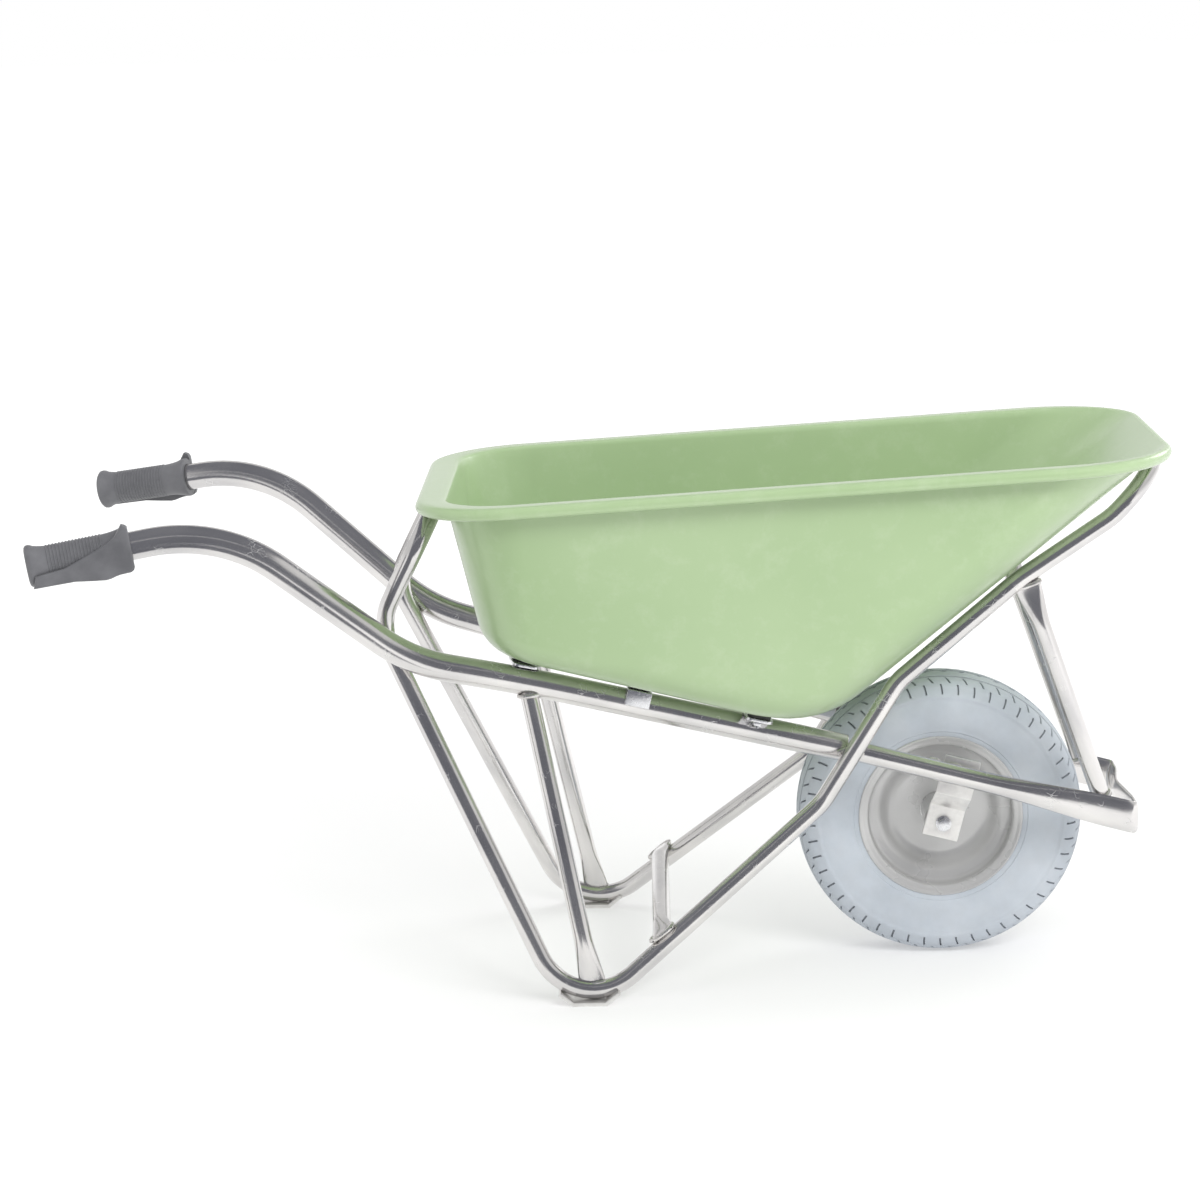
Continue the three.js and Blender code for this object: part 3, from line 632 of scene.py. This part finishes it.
# finish, how far each edge is cut back, and in how many steps
easing = {
    "foot_skid": ("plate", 0.0012, 3),
    "axle_hanger": ("plate", 0.0011, 3),
    "tray_tab_rear": ("zinc_fittings", 0.0008, 3),
    "tray_tab_front": ("zinc_fittings", 0.0008, 3),
    "tray_saddle_middle": ("zinc_fittings", 0.0009, 3),
    "tray_pad_rear": ("pad_rubber", 0.0009, 3),
    "tray_pad_middle": ("pad_rubber", 0.0009, 3),
    "tray_pad_front": ("pad_rubber", 0.0009, 3),
    "tray_nut_rear": ("zinc_fittings", 0.0005, 2),
    "tray_nut_front": ("zinc_fittings", 0.0005, 2),
    "axle_washer": ("zinc_fittings", 0.0003, 2),
    "axle_bolt": ("zinc_fittings", 0.0008, 3),
}
for stem, (finish, amount, segments) in easing.items():
    for tag, _ in sides:
        node = stem + "_" + tag
        easedCopy(pieceName(node), node, finish, amount, segments)
print("plates made")

tray = {
    "lean": -0.25532, "floor": 315.6, "rimLean": 0.051, "rim": 721.0,
    "foot": {"rear": -626, "front": -168, "half": 212, "rearCorner": 75, "frontCorner": 90},
    "top": {"rear": -672.9, "front": 292.3, "half": 262, "rearCorner": 99, "frontCorner": 127},
    "edge": {"rear": -713, "front": 301, "half": 293, "rearCorner": 130, "frontCorner": 157},
    "rearSlope": -4.5, "frontSlope": 0.82,
    "sheet": 0.0016, "inset": 1.5, "floorRadius": 40, "bead": 8.5,
    "cornerSteps": 14, "floorSteps": 8, "lipSteps": 5, "beadSteps": 11, "slices": 7,
    "wallShares": (0.3, 0.5, 0.7, 0.85, 0.93), "floorShare": 0.16, "lipShare": 0.975, "lipRise": 0.025,
    "lipBend": 0.35, "lipSettle": 0.75, "lipDip": 0.3, "beadSweep": 300,
}


def trayLoop(bm, outline, share, drop):
    corners = []
    for x, y in (("front", 1), ("rear", 1), ("rear", -1), ("front", -1)):
        along = outline[x]
        low = tray["floor"] + tray["lean"] * along
        high = tray["rim"] + tray["rimLean"] * along
        corners.append(bm.verts.new(at(along, y * outline["half"], low + share * (high - low) - drop)))
    bm.faces.new(corners)
    rear, front = corners[1:3], [corners[0], corners[3]]
    for ends, radius in ((rear, outline["rearCorner"]), (front, outline["frontCorner"])):
        bmesh.ops.bevel(
            bm, geom=ends, affect="VERTICES", offset=radius / 1000, segments=tray["cornerSteps"],
            profile=0.5, material=-1,
        )


def between(a, b, t):
    return {k: a[k] * (1 - t) + b[k] * t for k in a}


def shrunk(outline, inset, corner=None):
    c = inset if corner is None else corner
    return {
        "rear": outline["rear"] + inset,
        "front": outline["front"] - inset,
        "half": outline["half"] - inset,
        "rearCorner": outline["rearCorner"] - c,
        "frontCorner": outline["frontCorner"] - c,
    }


# x where an end wall crosses the share of the height, so both end walls stay flat
def wallOutline(share, inset):
    foot, top = tray["foot"], tray["top"]
    rows = {}
    for end, slope in (("rear", tray["rearSlope"]), ("front", tray["frontSlope"])):
        rise = tray["rim"] - tray["floor"]
        leanGap = tray["rimLean"] - tray["lean"]
        start = tray["floor"] + tray["lean"] * foot[end]
        climb = tray["floor"] + share * rise - start + slope * foot[end]
        rows[end] = climb / (slope - tray["lean"] - share * leanGap)
    flat = between(foot, top, share)
    flat.update(rows)
    out = shrunk(flat, inset, inset * 0.6)
    out["front"] = flat["front"] - inset * 1.15
    out["rear"] = flat["rear"] + inset * 0.7
    return out


def trayRows():
    rows = []
    steps = tray["floorSteps"]
    for k in range(steps + 1):
        turn = math.radians(90 * k / steps)
        inset = tray["floorRadius"] * (1 - math.sin(turn)) + tray["inset"]
        rows.append((tray["floorShare"] * (1 - math.cos(turn)), inset, 0))
    rows += [(share, tray["inset"], 0) for share in tray["wallShares"]]
    return [(wallOutline(share, inset), share, drop) for share, inset, drop in rows]


def lipRows():
    rows = []
    top = wallOutline(1, tray["inset"])
    low = wallOutline(tray["lipShare"], tray["inset"])
    edge, bead = tray["edge"], tray["bead"]
    start = shrunk(edge, bead)
    for k in range(tray["lipSteps"] + 1):
        t = k / tray["lipSteps"]
        outward = between(top, between(top, start, tray["lipBend"]), t)
        curve = between(between(low, top, t), outward, t)
        rows.append((curve, 1 - tray["lipRise"] * (1 - t) ** 2, 0))
    rows.append((between(top, start, tray["lipSettle"]), 1, tray["lipDip"]))
    for k in range(tray["beadSteps"] + 1):
        turn = math.radians(90 - tray["beadSweep"] * k / tray["beadSteps"])
        rows.append((shrunk(edge, bead - bead * math.cos(turn)), 1, bead - bead * math.sin(turn)))
    return rows


def trayShell():
    bm = bmesh.new()
    loops = []
    for outline, share, drop in trayRows() + lipRows():
        before = set(bm.faces)
        trayLoop(bm, outline, share, drop)
        loops.append(next(f for f in bm.faces if f not in before))
    rims = [list(f.edges) for f in loops]
    bmesh.ops.delete(bm, geom=loops[1:], context="FACES_ONLY")
    for a, b in zip(rims, rims[1:]):
        bmesh.ops.bridge_loops(bm, edges=a + b)
    bmesh.ops.recalc_face_normals(bm, faces=bm.faces)
    if loops[0].normal.z < 0:
        bmesh.ops.reverse_faces(bm, faces=bm.faces)
    rear, front = tray["edge"]["rear"], tray["edge"]["front"]
    for k in range(1, tray["slices"]):
        x = axle.x + (rear + (front - rear) * k / tray["slices"]) / 1000
        cutting = list(bm.verts) + list(bm.edges) + list(bm.faces)
        bmesh.ops.bisect_plane(bm, geom=cutting, plane_co=(x, 0, 0), plane_no=(1, 0, 0))
    piece = dressPiece(placeMesh("trayShell", bm), "tray_paint", ["tray"], "frame", 50)
    wall = piece.modifiers.new("sheet", "SOLIDIFY")
    wall.thickness = tray["sheet"]
    wall.offset = -1


trayShell()
print("tray made")


def fullTurn(bm, geom, axis, steps):
    bmesh.ops.spin(bm, geom=geom, cent=(0, 0, 0), axis=axis, angle=math.tau, steps=steps, use_merge=True)
    bmesh.ops.remove_doubles(bm, verts=bm.verts, dist=1e-6)


# A profile of (radius, height) rows turned about an axis.
def turnedPiece(name, profile, origin, along, finish, nodes, body="frame", steps=48, angle=35):
    bm = bmesh.new()
    verts = [bm.verts.new((r / 1000, 0, h / 1000)) for r, h in profile]
    edges = [bm.edges.new(pair) for pair in zip(verts, verts[1:])]
    if (verts[0].co - verts[-1].co).length < 1e-7:
        bmesh.ops.remove_doubles(bm, verts=bm.verts, dist=1e-7)
        edges = list(bm.edges)
    fullTurn(bm, list(bm.verts) + edges, (0, 0, 1), steps)
    turn = Vector((0, 0, 1)).rotation_difference(along).to_matrix().to_4x4()
    bmesh.ops.transform(bm, matrix=Matrix.Translation(origin) @ turn, verts=bm.verts)
    return finishPiece(name, bm, finish, nodes, body, angle)


bolt = {
    "rear": (-581.2, 128.6, 432.4), "front": (-262, 154.8, 350.9), "up": (0.2474, 0, 0.9689),
    "radius": 4.0, "pitch": 1.25, "threadDepth": 0.65, "chamfer": 1.1, "lead": 0.6,
    "tip": 8.2, "threadEnd": 29, "seat": 35.9,
    "head": [(10, 0), (9.7, 1.4), (8.2, 3.1), (5.2, 4.4), (0, 4.9)],
}


def boltProfile():
    rows = [(0, bolt["tip"]), (bolt["radius"] - bolt["chamfer"], bolt["tip"])]
    height = bolt["tip"] + bolt["lead"]
    while height < bolt["threadEnd"]:
        rows.append((bolt["radius"], height))
        rows.append((bolt["radius"] - bolt["threadDepth"], height + bolt["pitch"] / 2))
        height += bolt["pitch"]
    rows.append((bolt["radius"], bolt["seat"]))
    return rows + [(r, bolt["seat"] + h) for r, h in bolt["head"]]


for tag, s in sides:
    for where in ("rear", "front"):
        turnedPiece(
            f"trayBolt_{where}_{tag}", boltProfile(), mirrored(bolt[where], s), Vector(bolt["up"]).normalized(),
            "zinc_fittings", [f"tray_bolt_{where}_{tag}"], steps=32, angle=50,
        )
print("bolts made")

grip = {
    "origin": (-1211.1, 314.1, 631.1), "along": (0.9722, -0.1808, 0.1486),
    "length": 137, "radius": 23, "flange": 28, "bore": 19.5, "steps": 64,
    "ribs": 17, "firstRib": 28, "ribPitch": 4.4, "ribFoot": 0.3, "ribTop": 0.6,
}


def gripProfile():
    length, r, flange, bore = grip["length"], grip["radius"], grip["flange"], grip["bore"]
    rows = [(0, 0), (flange - 7, 0), (flange - 3, 0.8), (flange - 0.6, 3), (flange, 6), (flange - 0.5, 9)]
    rows += [(flange - 2.6, 13), (r + 1.2, 18), (r + 0.2, 24)]
    for k in range(grip["ribs"]):
        h = grip["firstRib"] + k * grip["ribPitch"]
        low, high = r - grip["ribFoot"], r + grip["ribTop"]
        rows += [(low, h), (high, h + 0.7), (high, h + 2.1), (low, h + 2.8)]
    rows += [(r + 0.1, length - 28), (r + 1.0, length - 20), (r + 2.4, length - 13)]
    rows += [(flange - 0.8, length - 8), (flange, length - 5), (flange, length - 1.2), (flange - 1.2, length)]
    rows += [(bore, length), (bore, length - 20), (bore - 0.1, 8), (0, 8)]
    return rows


# the outline is (along the grip, up)
guard = {
    "outline": [
        (4, -27), (9, -11), (28, -9.6), (48, -8), (70, -0.5), (92, 7), (107, 13), (118, 19),
        (124, 26), (130, 34), (135, 31.5), (137, 27), (137, -24), (135.2, -28), (131, -30.2),
        (117, -30.6), (111, -31.6), (104, -33.4), (97, -34), (80, -31.6), (58, -28), (30, -27.4),
    ],
    "inner": 0.0165, "thick": 0.0125, "rounding": 0.0035,
}


def gripMatrix(s):
    along = Vector((grip["along"][0], s * grip["along"][1], grip["along"][2])).normalized()
    outward = Vector((0, s, 0))
    outward = (outward - along * outward.dot(along)).normalized()
    up = Vector((0, 0, 1))
    up = (up - along * up.dot(along) - outward * up.dot(outward)).normalized()
    place = Matrix((outward, up, along)).transposed().to_4x4()
    place.translation = mirrored(grip["origin"], s)
    return place


def gripPiece(tag, s):
    place = gripMatrix(s)
    bm = bmesh.new()
    verts = [bm.verts.new((r / 1000, 0, h / 1000)) for r, h in gripProfile()]
    edges = [bm.edges.new(pair) for pair in zip(verts, verts[1:])]
    fullTurn(bm, verts + edges, (0, 0, 1), grip["steps"])
    bmesh.ops.transform(bm, matrix=place, verts=bm.verts)
    finishPiece("gripSleeve_" + tag, bm, "grip_plastic", ["grip_" + tag], angle=40)
    bm = bmesh.new()
    outline = [bm.verts.new((guard["inner"], h / 1000, a / 1000)) for a, h in guard["outline"]]
    face = bm.faces.new(outline)
    made = bmesh.ops.extrude_face_region(bm, geom=[face])["geom"]
    far = [g for g in made if isinstance(g, bmesh.types.BMVert)]
    bmesh.ops.translate(bm, vec=(guard["thick"], 0, 0), verts=far)
    rims = [e for e in bm.edges if all(v in far for v in e.verts)]
    bmesh.ops.bevel(
        bm, geom=rims, affect="EDGES", offset=guard["rounding"], segments=4, profile=0.5, material=-1
    )
    bmesh.ops.transform(bm, matrix=place, verts=bm.verts)
    finishPiece("gripGuard_" + tag, bm, "grip_plastic", angle=30)


for tag, s in sides:
    gripPiece(tag, s)
print("grips made")

# a pitch of tread is cut into cells at the steps; the notch, line and centre cells are sunk, and their floors
# get painted shade
tyre = {
    "pitches": 50, "steps": [0.29, 0.37, 0.50, 0.57, 0.79, 0.91, 1.0],
    "notch": {"turn": (0.79, 0.91), "radius": (175.5, 189), "across": (40.8, 60)},
    "line": {"turn": (0.37, 0.50), "radius": (190.4, 201), "across": (28, 60)},
    "centre": {"turn": (0.29, 0.57), "radius": (196, 201), "across": (4, 9)},
    "depth": 0.0046, "slant": 0.0012, "notchDepth": 0.0012, "notchSlant": 0.0032, "notchEdge": 0.1892,
    "lean": 0.5, "shoulder": 25, "shift": 0.25, "crown": 12,
}


# Distance from the axle and from the middle, from the bead out to the middle of the tread.
def tyreProfile():
    return [
        (103.8, 36), (104.2, 38), (108, 40.0), (114, 41.2), (118, 42.9), (121, 43.4), (122.4, 44.9),
        (125.5, 45.4), (128.5, 46.4), (132, 47.3), (140, 48.7), (150, 49.7), (158, 49.9), (166, 49.3),
        (169.5, 48.9), (171, 49.6), (173.5, 49.3), (176, 48.2), (181, 46.0), (185.4, 43.4), (189.0, 40.8),
        (189.5, 40.0), (190.4, 39.4), (193.8, 34.0), (196.2, 28.6), (196.9, 26.6), (193.6, 26.2),
        (193.6, 24.2), (197.6, 23.8), (199.1, 16), (199.8, 9), (200, 3.4), (196.5, 3.0), (196.5, 0),
    ]


# How far the tread is turned about the axle at a distance from the middle.
def skew(y):
    across = abs(y) * 1000
    shoulder, shift = tyre["shoulder"], tyre["shift"]
    lean = tyre["lean"] * math.sin((across - shoulder) / shoulder * math.pi / 2) if across > shoulder else 0.0
    turned = lean + (shift if y > 0 else -shift)
    return turned * math.tau / tyre["pitches"] * min(1, across / tyre["crown"])


def inCell(face, cell):
    middle = face.calc_center_median()
    measured = {
        "turn": math.atan2(middle.x, middle.z) / (math.tau / tyre["pitches"]),
        "radius": math.hypot(middle.x, middle.z) * 1000,
        "across": abs(middle.y) * 1000,
    }
    return all(low < measured[key] < high for key, (low, high) in cell.items())


# The grooves that run right round: one each side of the crown and one down the middle. They get painted shade
# too.
def inRing(point):
    radius = math.hypot(point.x, point.z) * 1000
    across = abs(point.y) * 1000
    return radius < 197 and (23.9 < across < 27 or (across < 3.1 and radius > 190))


def tyrePiece():
    bm = bmesh.new()
    depth = bm.verts.layers.float.new("treadDepth")
    half = tyreProfile()
    rows = [(r, -y) for r, y in half] + [(r, y) for r, y in reversed(half[:-1])]
    verts = [bm.verts.new((0, y / 1000, r / 1000)) for r, y in rows]
    edges = [bm.edges.new(pair) for pair in zip(verts, verts[1:])]
    pitch = math.tau / tyre["pitches"]
    for low, high in zip([0] + tyre["steps"], tyre["steps"]):
        made = bmesh.ops.spin(
            bm, geom=verts + edges, cent=(0, 0, 0), axis=(0, 1, 0), angle=(high - low) * pitch, steps=1
        )["geom_last"]
        verts = [g for g in made if isinstance(g, bmesh.types.BMVert)]
        edges = [g for g in made if isinstance(g, bmesh.types.BMEdge)]
    bmesh.ops.remove_doubles(bm, verts=bm.verts, dist=1e-6)
    bm.normal_update()
    cells = [f for f in bm.faces if any(inCell(f, tyre[kind]) for kind in ("notch", "line", "centre"))]
    made = bmesh.ops.extrude_face_region(bm, geom=cells)["geom"]
    sunk = [g for g in made if isinstance(g, bmesh.types.BMVert)]
    for v in sunk:
        out = Vector((v.co.x, 0, v.co.z)).normalized()
        onSide = math.hypot(v.co.x, v.co.z) < tyre["notchEdge"]
        inward = tyre["notchDepth"] if onSide else tyre["depth"]
        sideways = tyre["notchSlant"] if onSide else tyre["slant"]
        v.co -= out * inward + Vector((0, math.copysign(sideways, v.co.y), 0))
        # mark the sunk floors for painted shade
        v[depth] = 1.0
    bmesh.ops.delete(bm, geom=[f for f in cells if f.is_valid], context="FACES")
    for v in bm.verts:
        # the ring grooves are marked for painted shade as well
        if inRing(v.co):
            v[depth] = 1.0
        v.co = Matrix.Rotation(skew(v.co.y), 3, "Y") @ v.co
    base = list(bm.verts) + list(bm.edges) + list(bm.faces)
    bmesh.ops.spin(
        bm, geom=base, cent=(0, 0, 0), axis=(0, 1, 0), angle=math.tau, steps=tyre["pitches"], use_duplicate=True
    )
    bmesh.ops.remove_doubles(bm, verts=bm.verts, dist=mergeGap)
    inner = [e for e in bm.edges if e.is_boundary]
    bmesh.ops.bridge_loops(bm, edges=inner)
    bmesh.ops.translate(bm, vec=axle, verts=bm.verts)
    finishPiece("tyreCasing", bm, "tyre_rubber", ["tyre"], "wheel", angle=32)


tyrePiece()
print("tyre made")

# the rim's rows are (radius, distance from the middle)
rim = {
    "dish": [
        (25.3, 1.4), (60, 1.4), (68, 2.0), (73, 4.4), (77, 8.2), (81, 12.4), (85, 15.8), (89, 17.6),
        (94, 18.2), (98.4, 19.6), (100.6, 22), (101.2, 26), (101.2, 37.6), (102.2, 39.8), (104.4, 41.0),
        (107.6, 41.6), (109.6, 42.2), (111.4, 43.6), (113.4, 43.9), (114.8, 42.9), (115, 41.2), (113.6, 40.4),
    ],
    "sheet": 0.0023, "steps": 144,
}


def rimHalf(tag, s):
    bm = bmesh.new()
    verts = [bm.verts.new((0, s * y / 1000, r / 1000)) for r, y in rim["dish"]]
    edges = [bm.edges.new(pair) for pair in zip(verts, verts[1:])]
    fullTurn(bm, verts + edges, (0, 1, 0), rim["steps"])
    bmesh.ops.recalc_face_normals(bm, faces=bm.faces)
    disc = min(bm.faces, key=lambda f: math.hypot(f.calc_center_median().x, f.calc_center_median().z))
    if disc.normal.y * s < 0:
        bmesh.ops.reverse_faces(bm, faces=bm.faces)
    bmesh.ops.solidify(bm, geom=bm.faces, thickness=rim["sheet"] / 2)
    bmesh.ops.translate(bm, vec=axle, verts=bm.verts)
    finishPiece("rimHalf_" + tag, bm, "rim_finish", ["rim_half_" + tag], "wheel", angle=40)


hubRows = [
    (12, -45.7), (21.3, -45.7), (21.3, -57.6), (21.8, -58), (24.4, -58), (25, -57.4), (25, 57.4),
    (24.4, 58), (21.8, 58), (21.3, 57.6), (21.3, 45.7), (12, 45.7), (12, -45.7),
]
bearingRows = [
    (10.3, 46), (21, 46), (21, 57.6), (20.6, 58), (18.4, 58), (18.1, 57.2), (15.6, 57.0),
    (13.3, 57.2), (13.0, 58), (10.7, 58), (10.3, 57.6), (10.3, 46),
]
spacerRows = [(10.3, 58.3), (13.6, 58.3), (14, 58.7), (14, 77.3), (13.6, 77.7), (10.3, 77.7), (10.3, 58.3)]
axleRows = [
    (0, -55.7), (5.3, -55.7), (5.3, -77.7), (9.6, -77.7), (10, -77.3), (10, 77.3), (9.6, 77.7),
    (5.3, 77.7), (5.3, 55.7), (0, 55.7),
]

for tag, s in sides:
    rimHalf(tag, s)
    out = Vector((0, s, 0))
    bearing = "wheel_bearing_" + tag
    turnedPiece("wheelBearing_" + tag, bearingRows, axle, out, "zinc_fittings", [bearing], "wheel")
    turnedPiece("axleSpacer_" + tag, spacerRows, axle, out, "zinc_fittings", ["axle_spacer_" + tag])
turnedPiece("wheelHub", hubRows, axle, Vector((0, 1, 0)), "rim_finish", ["hub"], "wheel", 64)
turnedPiece("axleRod", axleRows, axle, Vector((0, 1, 0)), "zinc_fittings", ["axle"])
print("wheel made")


weld = {
    "step": 0.0011, "pitch": 0.0034, "trough": 0.78, "ripple": 0.22, "wander": 0.18, "lumps": 90,
    "fade": 4, "fadeFrom": 0.6, "ringSteps": 32, "seedScale": 40,
}
crossing = {"near": 0.09, "step": 0.004, "aside": 0.0068, "reach": 0.016, "radius": 0.0042}
hangerWeld = {"place": (0, 106, 293.5), "gap": 0.006, "length": 0.017, "radius": 0.0032}


# A rippled bead along a path.
def weldBead(name, path, radius=0.0034, seed=0):
    line = refine(path, weld["step"])
    total = len(line) - 1

    def size(i, run):
        ripple = weld["trough"] + weld["ripple"] * abs(math.sin(run * math.pi / weld["pitch"]))
        wander = 1 + weld["wander"] * noise.noise(line[i] * weld["lumps"] + Vector((seed, 0, 0)))
        nearEnd = min(i, total - i) + weld["fadeFrom"]
        taper = math.sqrt(min(1, nearEnd / weld["fade"]))
        r = radius * ripple * wander * taper
        return r, r

    bm = sweepRing(line, size, None, 10)
    return finishPiece(name, bm, "weld", angle=60)


# An oval bead around a joint, square to the normal and longest along the long way.
def weldRing(name, centre, normal, long, halfLong, halfWide, radius=0.0032):
    normal = normal.normalized()
    long = (long - normal * long.dot(normal)).normalized()
    wide = normal.cross(long)
    path = []
    for k in range(weld["ringSteps"] + 1):
        turn = math.radians(360 * k / weld["ringSteps"])
        path.append(centre + long * halfLong * math.cos(turn) + wide * halfWide * math.sin(turn))
    return weldBead(name, path, radius, centre.x * weld["seedScale"])


def nearestPair(first, second):
    best = min(((a - b).length, i, j) for i, a in enumerate(first) for j, b in enumerate(second))
    return first[best[1]], second[best[2]], tangents(first)[best[1]], tangents(second)[best[2]]


# Two beads along the place where one tube crosses another.
def crossingWeld(name, first, second, firstRadius, near):
    fine = [refine(line, crossing["step"]) for line in (first, second)]
    a, b, ta, tb = nearestPair(*([p for p in line if (p - near).length < crossing["near"]] for line in fine))
    normal = (b - a).normalized()
    centre = a + normal * firstRadius
    if ta.dot(tb) < 0:
        tb = -tb
    long = (ta + tb).normalized()
    reach = crossing["reach"]
    for word, way in (("Upper", 1), ("Lower", -1)):
        wide = normal.cross(long).normalized() * way
        path = [centre + long * t + wide * crossing["aside"] for t in (-reach, 0, reach)]
        weldBead(name + word, path, crossing["radius"], centre.x * weld["seedScale"])


forward = Vector((1, 0, 0))
for tag, s in sides:
    railPath, legPath = railLine(s), legLine(s)
    nosePath = [mirrored(nose["start"], s), mirrored(nose["flat"], s)]
    crossingWeld("weldHoop_" + tag, railPath, legPath, rail["radius"], mirrored((-745, 175, 490), s))
    crossingWeld("weldNose_" + tag, nosePath, legPath, nose["radius"], mirrored((-110, 130, 320), s))
    crossingWeld("weldRail_" + tag, railPath, legPath, rail["radius"], mirrored((-137, 120, 319), s))
    top, foot = mirrored(braceEnds["top"], s), mirrored(braceEnds["foot"], s)
    down = (foot - top).normalized()
    square = down + Vector((0, 0, -1))
    weldRing("weldBraceTop_" + tag, top + down * 0.0185, square, forward, 0.0146, 0.0140)
    weldRing("weldBraceFoot_" + tag, foot - down * 0.008, down, forward, 0.019, 0.006, 0.003)
    top, foot = mirrored(strutEnds["top"], s), mirrored(strutEnds["foot"], s)
    down = (foot - top).normalized()
    weldRing("weldStrutTop_" + tag, top + down * 0.0135, down, forward, 0.0195, 0.0062, 0.0034)
    weldRing("weldStrutFoot_" + tag, foot - down * 0.002, down, forward, 0.0138, 0.0138, 0.0034)
    end = mirrored(crossTube["end"], s) - Vector((0, s * 0.012, 0))
    wide = Vector(crossTube["side"])
    weldRing("weldCross_" + tag, end, Vector((-wide.z, 0, wide.x)), wide, 0.019, 0.013, 0.0032)
    slope = Vector((1, 0, nose["slope"])).normalized()  # the hangers' welds run along the nose tube
    for word, way in (("Front", 1), ("Rear", -1)):
        start = mirrored(hangerWeld["place"], s) + slope * way * hangerWeld["gap"]
        stop = start + slope * way * hangerWeld["length"]
        weldBead(f"weldHanger{word}_{tag}", [start, stop], hangerWeld["radius"])
print("welds made")


# the paper glows less near the middle, where the barrow's shadow falls
paper = {
    "size": 40, "glow": 0.62,
    "glowStops": [(0.12, 0.58), (0.34, 1.0)], "shades": [(0.2, 0.60), (0.8, 0.63)],
}


def addStudio():
    bm = bmesh.new()
    bmesh.ops.create_grid(bm, x_segments=2, y_segments=2, size=paper["size"])
    floor = placeMesh("studioFloor", bm)
    f = Finish("studioPaper", Roughness=0.95, Specular_IOR_Level=0.0, Emission_Strength=paper["glow"])
    away = f.node("VectorMath", {"operation": "LENGTH"}, {0: f.where()}, 1)
    f.feed("Emission Color", f.ramp(away * 0.1, paper["glowStops"]))
    cloud = f.speckle(f.where(), 0.6, 2.0)
    f.feed("Base Color", f.ramp(cloud, paper["shades"]))
    floor.data.materials.append(f.material)


# brightness from straight down to straight up
skyLevels = [(0.0, 1.0), (0.54, 1.0), (0.62, 0.70), (0.80, 0.78), (1.0, 0.9)]


def addWorld():
    world = bpy.data.worlds.new("studioWorld")
    bpy.context.scene.world = world
    world.use_nodes = True
    nodes, links = world.node_tree.nodes, world.node_tree.links
    where = nodes.new("ShaderNodeTexCoord")
    split = nodes.new("ShaderNodeSeparateXYZ")
    ramp = nodes.new("ShaderNodeValToRGB")
    while len(ramp.color_ramp.elements) < len(skyLevels):
        ramp.color_ramp.elements.new(0.5)
    for element, (place, level) in zip(ramp.color_ramp.elements, skyLevels):
        element.position = place
        element.color = (level, level, level, 1)
    half = nodes.new("ShaderNodeMapRange")
    half.inputs["From Min"].default_value = -1
    links.new(where.outputs["Generated"], split.inputs[0])
    links.new(split.outputs["Z"], half.inputs["Value"])
    links.new(half.outputs[0], ramp.inputs[0])
    links.new(ramp.outputs[0], nodes["Background"].inputs["Color"])
    nodes["Background"].inputs["Strength"].default_value = 1.0


# a lamp that is not mirrored lights the pieces without showing in their shine
lampTarget = (0, 0, 0.35)
lamps = {
    "keyPanel": {"place": (1.9, -3.2, 3.1), "size": (2.6, 1.4), "power": 98, "mirrored": False},
    "topPanel": {"place": (0.2, 0.3, 4.0), "size": (3.5, 2.2), "power": 34, "mirrored": True},
    "rimPanel": {"place": (2.8, 2.2, 2.4), "size": (1.6, 1.6), "power": 26, "mirrored": True},
}


def addLamps():
    for name, lamp in lamps.items():
        data = bpy.data.lights.new(name, "AREA")
        data.shape = "RECTANGLE"
        data.size, data.size_y = lamp["size"]
        data.energy = lamp["power"]
        light = bpy.data.objects.new(name, data)
        place = Vector(lamp["place"])
        aimed = (Vector(lampTarget) - place).to_track_quat("-Z", "Y")
        light.matrix_world = Matrix.Translation(place) @ aimed.to_matrix().to_4x4()
        light.visible_glossy = lamp["mirrored"]
        bpy.context.scene.collection.objects.link(light)


# Dark cloths on the camera side that only shiny surfaces see.
flags = {
    "reach": 2.6, "half": 2.4, "height": 0.35, "shade": (0.175, 0.18, 0.205, 1),
    "lower": (-7, 37.5), "upper": (40, 136), "steps": 16,
}


# A flag follows its starting points and then an arc over the span of degrees.
def addFlag(name, start, span, ends=(-1, 1)):
    reach, height, steps = flags["reach"], flags["height"], flags["steps"]
    turns = [math.radians(span[0] + (span[1] - span[0]) * k / steps) for k in range(steps + 1)] if span else []
    line = start + [(-reach * math.cos(t), height + reach * math.sin(t)) for t in turns]
    bm = bmesh.new()
    verts = [bm.verts.new((ends[0] * flags["half"], y, z)) for y, z in line]
    edges = [bm.edges.new(pair) for pair in zip(verts, verts[1:])]
    made = bmesh.ops.extrude_edge_only(bm, edges=edges)["geom"]
    far = [g for g in made if isinstance(g, bmesh.types.BMVert)]
    bmesh.ops.translate(bm, vec=((ends[1] - ends[0]) * flags["half"], 0, 0), verts=far)
    flag = placeMesh(name, bm)
    cloth = Finish(
        name + "Cloth", Roughness=1.0, Specular_IOR_Level=0.0, Base_Color=(0, 0, 0, 1),
        Emission_Strength=1.0, Emission_Color=flags["shade"],
    )
    flag.data.materials.append(cloth.material)
    for ray in ("camera", "diffuse", "transmission", "volume_scatter", "shadow"):
        setattr(flag, "visible_" + ray, False)


addStudio()
addFlag("lowerFlag", [(-1.6, 0.004), (-2.5, 0.004)], flags["lower"])
addFlag("upperFlag", [], flags["upper"])
addFlag("handleFlag", [(-0.62, 0.004), (-1.6, 0.004)], None, (-1, -0.06))
addWorld()
addLamps()
bpy.context.scene.view_settings.view_transform = "Standard"
print("studio set")
